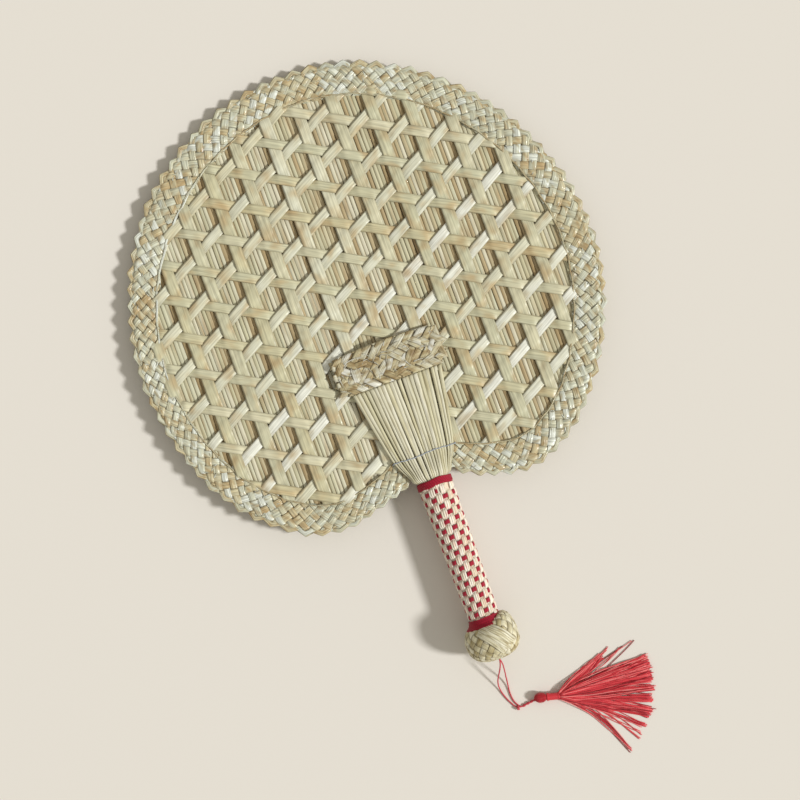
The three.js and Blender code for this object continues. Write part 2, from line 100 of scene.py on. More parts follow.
NECK_STRAWS = 22
NECK_FOOT = math.radians(80)
GRIP_TOP = -7.4
GRIP_LENGTH = 91.3
GRIP_TOP_RADIUS = 11.2
GRIP_FOOT_RADIUS = 9.8
GRIP_STRAWS = 17
WEFT_PITCH = 5.1
WEFT_TURNS = 17.3
GRIP_TWIST = 0.48
KNOB_RADIUS = 17.6
KNOB_HALF = 12.5
KNOB_MIDDLE = -110.72
KNOB_STRIPS = 18
KNOB_ROW = 3.2
UPPER_HOLE = 0.93
LOWER_HOLE = 0.9985
STEM_END = -123.62

CORD = 0.9
CORD_GAP = 0.15
CORD_TWIST = 5.6
CORD_STEPS = 8
HEAD_PLACE = (16.2, -35.2)
HEAD_MIDDLE = 3.5
HEAD_HALF = 3.9
HEAD_RADIUS = 3.15
WRAP_MIDDLE = 2.8
SKIRT_START = 11.6
TASSEL_HEADING = math.radians(-15)

low_mat, high_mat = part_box("core_mat")
FAN_PLACE = (
    Matrix.Translation((low_mat + high_mat) / 2)
    @ Matrix.Rotation(-math.atan2(KNOB_RADIUS - BORDER_TOP, BLADE_TOP - KNOB_MIDDLE), 4, "X")
    @ Matrix.Scale(MM, 4)
    @ Matrix.Translation((0, -MAT_MIDDLE, 0))
)
cord_exit = FAN_PLACE @ Vector((0, STEM_END, 0))
CORD_PLACE = Matrix.Translation((cord_exit.x, cord_exit.y, 0)) @ Matrix.Scale(MM, 4)
TASSEL_PLACE = CORD_PLACE @ Matrix.Translation((*HEAD_PLACE, 0)) @ Matrix.Rotation(TASSEL_HEADING, 4, "Z")

ALONG_X = (1, 0, 0)
ALONG_Y = (0, 1, 0)
ALONG_Z = (0, 0, 1)


# Strands
Strand = namedtuple("Strand", "points quads ends marks")


def points_from(x, y, z):
    """Points or directions from their x, y and z: each a row of values, or one value for all."""
    return np.stack(np.broadcast_arrays(x, y, z), 1)


def oval(angle, squareness):
    """Points round a middle, one unit each way: 2 is a circle, more is squarer, and less is more pointed."""
    circle = np.stack([np.cos(angle), np.sin(angle)], 1)
    return np.sign(circle) * np.abs(circle) ** (2 / squareness)


def section(corners, squareness):
    """The outline of a strand's cut end."""
    return oval((np.arange(corners) + 0.5) * math.tau / corners, squareness)


THREAD = section(6, 2)
ROUND = section(8, 2)
BALL = section(14, 2)
PUFFED = section(10, 2.4)
CROWNED = section(10, 2.6)
ARCHED = section(10, 2.15)
FOLDED = section(8, 2.6)
FLAT = section(10, 3.2)


def lengths(line):
    """How far along a line each of its points is."""
    return np.concatenate([[0], np.cumsum(np.linalg.norm(np.diff(line, axis=0), axis=1))])


def unit(vectors):
    return vectors / np.linalg.norm(vectors, axis=-1, keepdims=True)


def beside(ahead):
    """Flat directions turned a quarter to the left."""
    return np.stack([-ahead[..., 1], ahead[..., 0]], -1)


def read_off(place, run, table):
    """What each column of a table says at a place, where run is the place of each of its rows."""
    return [np.interp(place, run, column) for column in table.T]


def sweep(centres, sides, ups, cut, wide, tall, pick):
    """One closed strand: its cut outline carried along the centres. Wide and tall are half its width and
    height. For the materials it keeps how far along and across each point is, and pick, its own number."""
    centres = np.asarray(centres, float)
    count, corners = len(centres), len(cut)
    wide = np.broadcast_to(wide, count)[:, None] * cut[:, 0]
    tall = np.broadcast_to(tall, count)[:, None] * cut[:, 1]
    sides = np.broadcast_to(sides, (count, 3))[:, None]
    ups = np.broadcast_to(ups, (count, 3))[:, None]
    points = centres[:, None] + sides * wide[..., None] + ups * tall[..., None]
    marks = points_from(np.repeat(lengths(centres), corners), np.tile(cut[:, 0], count), pick)
    near = np.arange(corners)
    ring = near + (np.arange(count - 1) * corners)[:, None]
    ahead = np.roll(ring, -1, axis=1)
    quads = np.stack([ring, ahead, ahead + corners, ring + corners], 2).reshape(-1, 4)
    ends = np.stack([near[::-1], near + (count - 1) * corners])
    return Strand(points.reshape(-1, 3), quads, ends, marks)


def strand(centres, up, cut, wide, tall, pick):
    """A strand whose cut stays square to its own line."""
    ahead = unit(np.gradient(np.asarray(centres, float), axis=0))
    sides = unit(np.cross(up, ahead))
    return sweep(centres, sides, np.cross(ahead, sides), cut, wide, tall, pick)


def face_out(points, quads, ends):
    """A strand's faces, turned over if they look inwards."""
    a, b, c, d = (points[quads[:, i]] - points.mean(0) for i in range(4))
    volume = np.einsum("ij,ij->", a, np.cross(b, c)) + np.einsum("ij,ij->", a, np.cross(c, d))
    return (quads, ends) if volume > 0 else (quads[:, ::-1], ends[:, ::-1])


def make_piece(name, strands, material, place=FAN_PLACE, body="fan", nodes=()):
    """One object of many strands, set in its place and riding on its body."""
    faces = []
    start = 0
    for points, quads, ends, _ in strands:
        for loops in face_out(points, quads, ends):
            faces.extend((loops + start).tolist())
        start += len(points)
    points = np.concatenate([one.points for one in strands])
    points = points @ np.array(place.to_3x3()).T + np.array(place.translation)
    mesh = bpy.data.meshes.new(name)
    mesh.from_pydata(points.tolist(), [], faces)
    mesh.polygons.foreach_set("use_smooth", [True] * len(mesh.polygons))
    marks = np.concatenate([one.marks for one in strands])
    mesh.attributes.new("strand", "FLOAT_VECTOR", "POINT").data.foreach_set("vector", marks.ravel())
    mesh.materials.append(material)
    piece = bpy.data.objects.new(name, mesh)
    bpy.context.scene.collection.objects.link(piece)
    if body:
        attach(piece, body)
    if nodes:
        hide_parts(*nodes)
    return piece


def mirrored(strands):
    """The same strands on the fan's back."""
    return [one._replace(points=one.points * (1, 1, -1)) for one in strands]


def make_both_sides(part, draw, material, node):
    """A part of the front and, with chances of its own, the same part of the back."""
    make_piece("front_" + part, draw(), material, nodes=["front_" + node])
    make_piece("back_" + part, mirrored(draw()), material, nodes=["back_" + node])


def ease(value, start, end):
    """0 before start and 1 after end, with a soft change between."""
    share = np.clip((value - start) / (end - start), 0, 1)
    return share * share * (3 - 2 * share)


def smooth_line(points, steps):
    """A smooth line through the points, with that many steps between each two."""
    points = np.asarray(points, float)
    run = np.concatenate([[2 * points[0] - points[1]], points, [2 * points[-1] - points[-2]]])
    share = (np.arange(steps) / steps)[:, None]
    parts = []
    for before, start, end, after in zip(run, run[1:], run[2:], run[3:]):
        bend = (2 * before - 5 * start + 4 * end - after) * share ** 2
        turn = (3 * start - before - 3 * end + after) * share ** 3
        parts.append((2 * start + (end - before) * share + bend + turn) / 2)
    return np.concatenate([*parts, points[-1:]])


# Materials
def paint(code):
    """An sRGB hex colour as the linear values that Blender takes."""
    levels = [int(code[i:i + 2], 16) / 255 for i in (1, 3, 5)]
    linear = [level / 12.92 if level <= 0.04045 else ((level + 0.055) / 1.055) ** 2.4 for level in levels]
    return (*linear, 1)


def new_material(name):
    material = bpy.data.materials.new(name)
    material.use_nodes = True
    return material, material.node_tree.nodes["Principled BSDF"]


def connect(node, values=(), links=()):
    """Sets a node's sockets: values pairs each with its value, and links with the output that feeds it."""
    for socket, value in values:
        node.inputs[socket].default_value = value
    for socket, source in links:
        node.id_data.links.new(source, node.inputs[socket])


def add(tree, kind, values=(), links=(), out=0, **settings):
    """Adds a node with its settings, by name, and its sockets, and gives back one of its outputs."""
    node = tree.nodes.new("ShaderNode" + kind)
    for name, value in settings.items():
        setattr(node, name, value)
    connect(node, values, links)
    return node.outputs[out]


def set_tones(colour, tones):
    """Spreads the tones evenly over the ramp whose output this colour is."""
    elements = colour.node.color_ramp.elements
    while len(elements) < len(tones):
        elements.new(0.5)
    for i, tone in enumerate(tones):
        elements[i].position = i / (len(tones) - 1)
        elements[i].color = paint(tone)


# The socket numbers of a map range node, and of a mix node for colours
FROM_LOW, FROM_HIGH, TO_LOW, TO_HIGH = 1, 2, 3, 4
FACTOR, FIRST, SECOND, MIXED = 0, 6, 7, 2

# Noise seldom leaves this span. Strands whose numbers differ by one are so far apart in the noise of their
# spots and of their fibres that no two are alike
NOISE_SPAN = [(FROM_LOW, 0.3), (FROM_HIGH, 0.7)]
SPOTS_APART = 53
FIBRES_APART = 97
FIBRE_LENGTH = 20
# The warm dark brown that strand edges are mixed towards: painted shade in the creases between strands
CREASE_SHADE_TONE = "#5A4226"


def straw(name, tones, spot, spot_length, lines, streak, crease_shade, roughness, bump, stray=0.04):
    """Dry straw. Every strand has a tone of its own, which strays a little along it, and darker spots, about
    spot_length long. Its lengthwise fibres, so many lines to half its width, show light and dark and catch
    the light a little differently. Each strand's edges are mixed towards a warm dark brown: painted shade
    in the creases between strands."""
    material, surface = new_material(name)
    tree = material.node_tree
    mark = add(tree, "Attribute", out="Vector", attribute_name="strand")
    parts = add(tree, "SeparateXYZ", links=[(0, mark)]).node.outputs
    spot_place = add(tree, "VectorMath", [(1, (1 / spot_length, 0.5, SPOTS_APART))], [(0, mark)],
                     operation="MULTIPLY")
    blotch = add(tree, "TexNoise", [("Scale", 1), ("Detail", 1)], [("Vector", spot_place)])
    change = add(tree, "MapRange", [*NOISE_SPAN, (TO_LOW, stray), (TO_HIGH, -stray)], [(0, blotch)])
    own_tone = add(tree, "Math", links=[(0, parts[2]), (1, change)], operation="ADD")
    tone = add(tree, "ValToRGB", links=[(0, own_tone)])
    set_tones(tone, tones)
    darker = add(tree, "MapRange", [(FROM_LOW, 0.5), (FROM_HIGH, 0.75), (TO_HIGH, 0.7)], [(0, blotch)])
    spotted = add(tree, "Mix", [(SECOND, paint(spot))], [(FACTOR, darker), (FIRST, tone)], MIXED,
                  data_type="RGBA")
    fibre_place = add(tree, "VectorMath", [(1, (1 / FIBRE_LENGTH, lines, FIBRES_APART))], [(0, mark)],
                      operation="MULTIPLY")
    fibre = add(tree, "TexNoise", [("Scale", 1), ("Detail", 2)], [("Vector", fibre_place)])
    shade = add(tree, "MapRange", [*NOISE_SPAN, (TO_LOW, 1 - streak), (TO_HIGH, 1 + streak / 2)],
                [(0, fibre)])
    off_middle = add(tree, "Math", links=[(0, parts[1])], operation="ABSOLUTE")
    # Painted shade: each strand's edges darken towards warm brown, as shade falls in the creases between
    # strands
    edge = add(tree, "MapRange", [(FROM_LOW, 0.7), (FROM_HIGH, 1), (TO_HIGH, crease_shade)], [(0, off_middle)])
    with_crease_shade = add(tree, "Mix", [(SECOND, paint(CREASE_SHADE_TONE))], [(FACTOR, edge), (FIRST, spotted)], MIXED,
                 data_type="RGBA")
    colour = add(tree, "VectorMath", links=[(0, with_crease_shade), ("Scale", shade)], operation="SCALE")
    gloss = add(tree, "MapRange", [*NOISE_SPAN, (TO_LOW, roughness + 0.1), (TO_HIGH, roughness - 0.1)],
                [(0, fibre)])
    relief = add(tree, "Bump", [("Strength", 1), ("Distance", 0.2 * bump * MM)], [("Height", fibre)])
    connect(surface, [("Specular IOR Level", 0.4)],
            [("Base Color", colour), ("Roughness", gloss), ("Normal", relief)])
    return material


def mat_straw():
    """Whole straws pressed side by side, the ground that shows in the holes: cream and grey green, and at
    the low end of the ramp warm brown, which is painted shade for the straws in the upright strips' shadow."""
    # The first two tones, brown, are painted shade for the straws in the upright strips' shadow
    tones = ["#A89268", "#B6A27A", "#C4B48E", "#C3BE9C", "#CCC8A8", "#D6CDAA", "#D0CFB2", "#DED8BE"]
    return straw("mat_straw", tones, spot="#B0966C", spot_length=20, lines=1.5, streak=0.16, crease_shade=0.5,
                 roughness=0.45, bump=0.6, stray=0.05)


def weave_straw():
    """Split straw pressed flat and sun bleached: pale greenish cream, with a soft shine along its fibres."""
    # The palest tones, which the rising strips take, are partly painted sheen: the highlight they catch from
    # the lamp
    tones = ["#C8B68C", "#CEC7A2", "#CBC9AA", "#D8D2B2", "#DDDCC4", "#ECECDE"]
    return straw("weave_straw", tones, spot="#BFA477", spot_length=12, lines=3.5, streak=0.24, crease_shade=0.3,
                 roughness=0.34, bump=1.5, stray=0.1)


def border_straw():
    """Short flat strips of mixed straw plaited close: tan, cream and greenish white side by side."""
    tones = ["#C4B086", "#CDC19B", "#D1C9A8", "#CDCBAF", "#D2D1B7", "#D6D8C2", "#E4E7DA"]
    return straw("border_straw", tones, spot="#AE946A", spot_length=5, lines=3, streak=0.36, crease_shade=0.48,
                 roughness=0.26, bump=2.6, stray=0.22)


def neck_straw():
    """Long round straws, pale and a little shiny, with shadow between them."""
    tones = ["#C8C29E", "#DCD6B6", "#E8E4CE", "#D0CBAC", "#E0DCC4"]
    return straw("neck_straw", tones, spot="#B8AD84", spot_length=14, lines=3, streak=0.22, crease_shade=0.16,
                 roughness=0.4, bump=1)


def patch_straw():
    """Older, browner straw in a coarse plait, rough and frayed, with some pale strips in it."""
    tones = ["#9F8B62", "#BBAA80", "#C8BC94", "#CFC7A6", "#D6D2BA", "#E6E4D6"]
    return straw("patch_straw", tones, spot="#8E744C", spot_length=4, lines=5, streak=0.36, crease_shade=0.75,
                 roughness=0.5, bump=1.8, stray=0.25)


def grip_straw():
    """Straws laid lengthwise over the handle: pressed soft, almost white, and stained pink in spots by the
    red thread that binds them."""
    return straw("grip_straw", ["#E6DABE", "#F0E6D2", "#F4EEE0", "#EADFC6"], spot="#E4A896", spot_length=4,
                 lines=1, streak=0.18, crease_shade=0.2, roughness=0.5, bump=0.8)


def knob_straw():
    """Flat straw wound and plaited over the ball, olive where it has aged."""
    return straw("knob_straw", ["#AE9F70", "#C6B98E", "#D6CDA8", "#DDD6B6", "#E8E3CA"], spot="#93804E",
                 spot_length=7, lines=4, streak=0.3, crease_shade=0.65, roughness=0.34, bump=1.4, stray=0.15)


def thread(name, tones, fuzz, roughness, ply=0.3):
    """Cotton thread, dull and slightly fuzzy. Its twist shows as fine slanting lines, as strong as ply says.
    The real lines are about half a millimetre apart, and they are drawn 1.6 mm apart so that they show."""
    material, surface = new_material(name)
    tree = material.node_tree
    mark = add(tree, "Attribute", out="Vector", attribute_name="strand")
    parts = add(tree, "SeparateXYZ", links=[(0, mark)]).node.outputs
    tone = add(tree, "ValToRGB", links=[(0, parts[2])])
    set_tones(tone, tones)
    twist_place = add(tree, "VectorMath", [(1, (1.25, 0.5, 0))], [(0, mark)], operation="MULTIPLY")
    twist = add(tree, "TexWave", [("Scale", 0.32), ("Distortion", 0.6)], [("Vector", twist_place)], "Fac",
                bands_direction="DIAGONAL")
    shade = add(tree, "MapRange", [(TO_LOW, 1 - ply), (TO_HIGH, 1 + ply / 3)], [(0, twist)])
    colour = add(tree, "VectorMath", links=[(0, tone), ("Scale", shade)], operation="SCALE")
    relief = add(tree, "Bump", [("Strength", 1.6 * ply), ("Distance", 0.1 * MM)], [("Height", twist)])
    connect(surface, [("Roughness", roughness), ("Specular IOR Level", 0.25), ("Sheen Weight", fuzz),
                      ("Sheen Roughness", 0.5)], [("Base Color", colour), ("Normal", relief)])
    return material


def red_thread():
    """Red cotton wound tight round the handle, darker than the tassel where hands have held it."""
    return thread("red_thread", ["#7A0E22", "#A8122E", "#C02440"], fuzz=0.12, roughness=0.7)


def weft_thread():
    """The red thread woven through the grip: wine red, dulled by handling."""
    return thread("weft_thread", ["#86182A", "#A61E34", "#B82E44"], fuzz=0.15, roughness=0.8)


def cord_thread():
    """Twisted red cotton cord, brighter than the windings."""
    return thread("cord_thread", ["#BC3040", "#CC424E", "#DA6068"], fuzz=0.25, roughness=0.75)


def tassel_thread():
    """Loose fine red threads with a little silkiness. Each thread has a tone from dark red to pale pink, so
    that
    the bundles show light and dark strands: the pale pink is painted sheen, the darkest red painted shade.
    """
    return thread("tassel_thread", ["#7C101A", "#C82C36", "#DC4048", "#F49490"], fuzz=0.2, roughness=0.42,
                  ply=0.06)


def sewing_thread():
    """Thin blue grey sewing cotton."""
    return thread("sewing_thread", ["#98A2B2", "#B4BCC8"], fuzz=0.1, roughness=0.7)


def hidden_fill(name, tones, density):
    """What is packed inside, seen only through small gaps: fibres, so many to a metre along x, y and z."""
    material, surface = new_material(name)
    tree = material.node_tree
    place = add(tree, "TexCoord", out="Object")
    drawn = add(tree, "VectorMath", [(1, density)], [(0, place)], operation="MULTIPLY")
    fibre = add(tree, "TexNoise", [("Scale", 1), ("Detail", 3)], [("Vector", drawn)])
    tone = add(tree, "ValToRGB", links=[(0, fibre)])
    set_tones(tone, tones)
    relief = add(tree, "Bump", [("Strength", 0.6), ("Distance", 0.3 * MM)], [("Height", fibre)])
    connect(surface, [("Roughness", 0.8)], [("Base Color", tone), ("Normal", relief)])
    return material


# The camera
def make_camera():
    """Looks straight down from over a metre up, with the fan's crown leaning 20.2 degrees to the left."""
    camera = bpy.data.objects.new("camera", bpy.data.cameras.new("camera"))
    place = Matrix.Translation((-0.0025, -0.0234, 1.21))
    camera.matrix_world = place @ Matrix.Rotation(math.radians(-20.2), 4, "Z")
    camera.data.lens = 84.4
    camera.data.sensor_width = 36
    bpy.context.scene.collection.objects.link(camera)
    bpy.context.scene.camera = camera


# Cord and tassel, in millimetres on the table from the cord's exit. The third number of a loop's point is a
# share of the way up from the table to the exit
LEFT_ROUTE = [
    (0, -0.6, 1.035), (-0.3, -2.4, 1), (-1, -4.8, 0.93), (-2, -7.2, 0.82), (-3.2, -9.6, 0.67),
    (-4.4, -12, 0.5), (-5.5, -14.4, 0.34), (-6.2, -16.8, 0.2), (-6.5, -19.2, 0.1), (-6.4, -21.6, 0.035),
    (-6, -24, 0.01), (-5.3, -26.4, 0), (-4.4, -28.8, 0), (-3.3, -31.2, 0), (-2.2, -33.2, 0),
    (-1.3, -34.8, 0),
]
RIGHT_ROUTE = [
    (0, -0.6, 0.965), (0.5, -2.4, 0.93), (0.8, -4.8, 0.86), (0.7, -7.2, 0.74), (0.5, -9.6, 0.59),
    (0.3, -12, 0.43), (0, -14.4, 0.28), (-0.2, -16.8, 0.16), (-0.5, -19.2, 0.075), (-0.8, -21.6, 0.025),
    (-1.1, -24, 0.005), (-1.2, -26.4, 0), (-1.1, -28.8, 0), (-0.7, -31.2, 0), (0, -33.2, 0),
    (0.8, -34.6, 0),
]
KNOT_PLACE = (0.4, -36.8)
TWIST_ROUTE = [
    (2.6, -36.7, 0.95), (5, -36.6, 0.95), (7.5, -36.2, 0.98), (9.8, -35.8, 1.3), (12, -35.5, 2.1),
    (14, -35.3, 2.9),
]
TASSEL_ROUTE = [(18, -35.8, 3), (22, -36.9, 2.6), (28, -38.4, 2.2), (34, -40, 1.6), (39, -41.3, 1.2)]


def cord_line(route, phase, inside):
    """A strand from the knob, through the knot, twisted with the other one, and on into the tassel."""
    rest = CORD_GAP + CORD / 2
    loop = [(x, y, rest + (cord_exit.z / MM - rest) * share) for x, y, share in route]
    in_knot = (0.9 + phase, -36.4, 1)
    line = smooth_line([*loop, in_knot, *TWIST_ROUTE, *inside], CORD_STEPS)
    run = lengths(line)
    twist_start = run[CORD_STEPS * len(loop) + CORD_STEPS // 2]
    turn = phase * math.pi + (run - twist_start) * math.tau / CORD_TWIST
    reach = CORD / 2 * ease(run, twist_start, twist_start + 3)[:, None]
    ahead = unit(np.gradient(line, axis=0))
    side = unit(np.cross(ALONG_Z, ahead))
    return line + reach * (side * np.cos(turn)[:, None] + np.cross(ahead, side) * np.sin(turn)[:, None])


def make_cord(name, route, phase, inside, nodes, material):
    """One strand of the cord at its own true length, bent through the knot and on into the tassel."""
    line = cord_line(route, phase, inside)
    tube = strand(line, ALONG_Z, ROUND, CORD / 2, CORD / 2, 0.5)
    piece = make_piece(name, [tube], material, CORD_PLACE, None, nodes)
    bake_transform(piece)


def make_knot(material):
    """The knot that joins the two strands: one cord wound through itself."""
    middle = (*KNOT_PLACE, 1.6)
    half = 0.46 * CORD
    angle = np.linspace(0, 2 * math.tau, 97)
    reach = 0.85 + 0.42 * np.cos(1.5 * angle)
    line = points_from(0.5 * np.sin(1.5 * angle), reach * np.cos(angle), reach * np.sin(angle)) + middle
    tube = strand(line, unit(line - middle), ROUND, half, half, 0.6)
    return make_piece("loop_knot_winding", [tube], material, CORD_PLACE, "cord_loop",
                      ["loop_knot"])


def wound(along, radius, turns, middle, half):
    """Thread wound round the x axis. Along and radius give its side from the share of it that is wound."""
    share = np.linspace(0, 1, turns * 30)
    angle = share * turns * math.tau
    out = points_from(0, np.cos(angle), np.sin(angle))
    line = points_from(along(share), 0, middle) + out * radius(share)[:, None]
    return strand(line, out, THREAD, half, half, between(0.2, 0.9))


def tassel_piece(name, strands, material, node):
    """A piece that rides on the tassel."""
    return make_piece(name, strands, material, TASSEL_PLACE, "tassel", [node])


def make_head(material):
    """The tassel's head: a small ball wound from thread over a core."""
    angle = np.linspace(0.05, math.pi - 0.05, 12)
    core_line = points_from((0.2 - HEAD_HALF) * np.cos(angle), 0, HEAD_MIDDLE)
    core_radius = (HEAD_RADIUS - 0.05) * np.sin(angle)
    core = strand(core_line, ALONG_Z, BALL, core_radius, core_radius, 0.3)
    coil = wound(lambda share: -HEAD_HALF * np.cos(math.pi * share),
                 lambda share: HEAD_RADIUS * np.sin(math.pi * share) + 0.05,
                 turns=16, middle=HEAD_MIDDLE, half=0.3)
    return tassel_piece("tassel_head_ball", [core, coil], material, "tassel_head")


def make_wrap(material):
    """Thread wound tight round the tassel's neck, over the tops of its threads, with a ridge at each end."""
    core_line = np.array([(3.2, 0, WRAP_MIDDLE), (12.4, 0, WRAP_MIDDLE - 0.1)])
    core = strand(core_line, ALONG_Z, BALL, 2, 2, 0.3)
    coil = wound(lambda share: 4.2 + 7.8 * share,
                 lambda share: 2.1 + 0.4 * (1 - ease(share, 0, 0.22)) + 0.3 * ease(share, 0.85, 1),
                 turns=16, middle=WRAP_MIDDLE, half=0.29)
    return tassel_piece("tassel_neck_winding", [core, coil], material, "tassel_wrap")


# Where the skirt's bundles end: heading in degrees, reach in millimetres, spread in degrees, bow sideways in
# millimetres, and how many threads
SKIRT_BUNDLES = [
    (17.5, 62, 1.7, 0, 62), (14, 61.5, 1.8, 0, 62), (10.5, 61, 1.8, 0, 62), (6.6, 61, 1.6, -0.5, 52),
    (-0.4, 61, 0.9, -1, 42), (-7, 60, 1, -0.5, 42), (-14, 60.5, 1.4, 0, 50), (-17.5, 60, 1, 0.5, 28),
    (-24.6, 59.7, 0.7, 1.5, 14), (-29.2, 58, 0.5, 3, 3), (-33, 58.7, 0.4, 4, 3), (-42, 58.5, 0.7, 5, 9),
    (37, 37, 2.3, -0.5, 34), (38, 44, 0.6, -0.5, 4), (32.7, 51, 0.5, -1, 3), (31.2, 60.4, 0.3, -1, 2),
]


def skirt_thread(heading, reach, spread, bow):
    """A cut thread, from the tassel's neck to its end on the table: loose on the way, a little crimped."""
    share = np.linspace(0, 1, 20)
    angle = math.radians(heading + chance.normal(0, spread))
    far = reach + chance.normal(0, 0.9)
    side, rise = between(-1, 1), between(0, 1)
    bend = (bow + chance.normal(0, 1.5)) * np.sin(math.pi * share ** 0.8)
    bend += 0.25 * ease(share, 0.1, 0.3) * np.sin(between(7, 15) * share + between(0, 6))
    root = 1.5 * math.sin(2 * angle) + 0.7 * side
    x = SKIRT_START + far * share * math.cos(angle) - bend * math.sin(angle)
    y = root * (1 - share) ** 2 + far * share * math.sin(angle) + bend * math.cos(angle)
    pile = 0.46 + 2.1 * rise * math.exp(-((heading - 8) / 26) ** 2)
    z = (0.9 + 3.2 * rise) * (1 - ease(share, 0, 0.5)) + pile * (1 - 0.4 * share) * ease(share, 0, 0.5)
    return strand(points_from(x, y, z), ALONG_Z, THREAD, 0.27, 0.27, between(0, 1))


def make_skirt(material):
    """The tassel's skirt: cut threads that leave its neck and fan out over the table in bundles."""
    strands = [skirt_thread(*bundle) for *bundle, count in SKIRT_BUNDLES for _ in range(count)]
    return tassel_piece("tassel_skirt_threads", strands, material, "tassel_skirt")


def make_cords():
    """The loop's two strands, the knot, and the tassel on them."""
    red, silky = cord_thread(), tassel_thread()
    pieces = [make_knot(red), make_head(silky), make_wrap(silky), make_skirt(silky)]
    make_cord("left_cord_strand", LEFT_ROUTE, 0, TASSEL_ROUTE, ["left_loop_strand", "twisted_cord"], red)
    make_cord("right_cord_strand", RIGHT_ROUTE, 1, TASSEL_ROUTE[:2], ["right_loop_strand"], red)


# The blade's outline
def quarter(centre, reach, roundness, start, end, steps):
    """A quarter of an oval, from one angle in degrees to another."""
    return centre + oval(np.radians(np.linspace(start, end, steps + 1)), roundness) * reach


def blade_outline(inset):
    """The blade's outline moved inwards, clockwise from the top of its crown."""
    half = BLADE_WIDTH / 2 - inset
    lobe = (half - LOBE_MIDDLE, inset - LOBE_DEPTH)
    notch = (NOTCH_HALF - LOBE_MIDDLE, -NOTCH_RISE)
    right = np.concatenate([
        quarter((0, WIDEST), (half, CROWN_HEIGHT - inset), CROWN_ROUNDNESS, 90, 0, steps=84),
        quarter((LOBE_MIDDLE, WIDEST), lobe, LOBE_ROUNDNESS, 0, 90, steps=72)[1:],
        quarter((LOBE_MIDDLE, inset), notch, NOTCH_ROUNDNESS, 90, 0, steps=36)[1:],
    ])
    return np.concatenate([right, right[:0:-1] * (-1, 1)])


# Where the hand-made blade swells or falls in: the middle of the stretch and its spread to each side, in
# degrees round the blade's middle, then how far its rim and its border's inner edge move out, in millimetres
BLADE_MIDDLE = (0, 120)
FULL_SHOULDER = (140, 55, 4.5, 3.5)
NARROW_BORDER = (185, 60, 1.5, 6)
FULL_LOBE = (215, 30, 3, 2)
FLAT_LOBE_SIDE = (252, 18, -6, -1)


def swell(angle, middle, spread):
    """1 at the middle of a stretch, falling softly to 0 at its spread on both sides."""
    return 1 - ease(np.abs((angle - middle + 180) % 360 - 180), 0, spread)


def hand_outline(inset):
    """The blade's outline as the hand left it: fuller at its upper left, with a narrower border there."""
    line = blade_outline(inset)
    out = line - BLADE_MIDDLE
    angle = np.degrees(np.arctan2(out[:, 1], out[:, 0]))
    inward = np.clip(inset / BORDER_WIDTH, 0, 1)
    for middle, spread, rim, inner_edge in (FULL_SHOULDER, NARROW_BORDER, FULL_LOBE, FLAT_LOBE_SIDE):
        move = rim + (inner_edge - rim) * inward
        line = line + unit(out) * (move * swell(angle, middle, spread))[:, None]
    return line


def closed(line):
    return np.concatenate([line, line[:1]])


def runs_inside(start, ahead, outline):
    """Where a straight line runs inside an outline: pairs of distances from its start."""
    start, ahead = np.array(start, float), np.array(ahead, float)
    edge = np.roll(outline, -1, axis=0) - outline
    gap = outline - start
    turn = ahead[0] * edge[:, 1] - ahead[1] * edge[:, 0]
    turn = np.where(np.abs(turn) < 1e-12, 1e-12, turn)
    on_edge = (gap[:, 0] * ahead[1] - gap[:, 1] * ahead[0]) / turn
    on_line = (gap[:, 0] * edge[:, 1] - gap[:, 1] * edge[:, 0]) / turn
    hits = np.sort(on_line[(on_edge >= 0) & (on_edge < 1)])
    return list(zip(hits[::2], hits[1::2]))


RIM = closed(hand_outline(0))
BRIM = closed(hand_outline(BORDER_WIDTH))
RIM_RUN = lengths((RIM + BRIM) / 2)
RIM_LENGTH = RIM_RUN[-1]


def on_rim(strands):
    """Bends strands made on a straight band round the blade: x runs along it, y is 0 at its outer edge."""
    for one in strands:
        along, inward = one.points[:, 0] % RIM_LENGTH, -one.points[:, 1] / BORDER_WIDTH
        outer, inner = (np.array(read_off(along, RIM_RUN, line)) for line in (RIM, BRIM))
        one.points[:, :2] = (outer + (inner - outer) * inward).T
    return strands


# Mat
def make_mat(material):
    """Straws laid side by side from the notch to the crown, each trimmed to the blade. Those just left of an
    upright strip, where its shadow falls, take the brown tones: painted shade."""
    outline = hand_outline(MAT_SETBACK)
    strands = []
    columns = int(BLADE_WIDTH / 2 / MAT_STRAW) + 2
    for column in range(-columns, columns + 1):
        # A hair beside the outline's corners at the middle
        x = column * MAT_STRAW + 0.01
        for bottom, top in runs_inside((x, 0), ALONG_Y[:2], outline):
            if top - bottom < 4:
                continue
            steps = max(int((top - bottom) / 11), 3)
            y = np.linspace(bottom + between(0, 1), top - between(0, 1), steps)
            sway = 0.13 * np.sin(y / between(18, 40) + between(0, 6))
            wide = MAT_STRAW / 2 * between(0.98, 1.14)
            line = points_from(x + sway, y, between(-0.15, 0.15))
            # Painted shade: straws in an upright strip's shadow get the brown tones
            shaded = MAT_SHADE[0] < x - COLUMN * round(x / COLUMN) < MAT_SHADE[1]
            tone = between(0, 0.24) if shaded else between(0.12, 1)
            strands.append(sweep(line, ALONG_X, ALONG_Z, PUFFED, wide, 0.75, tone))
    make_piece("mat_straws", strands, material, nodes=["core_mat"])


# Open weave
def near_strip(place, pitch, half):
    """1 on the strips of a row with this pitch, falling to 0 just beside them."""
    offset = place - pitch * np.round(place / pitch)
    return 1 - ease(np.abs(offset), half + 0.1, half + 2.4)


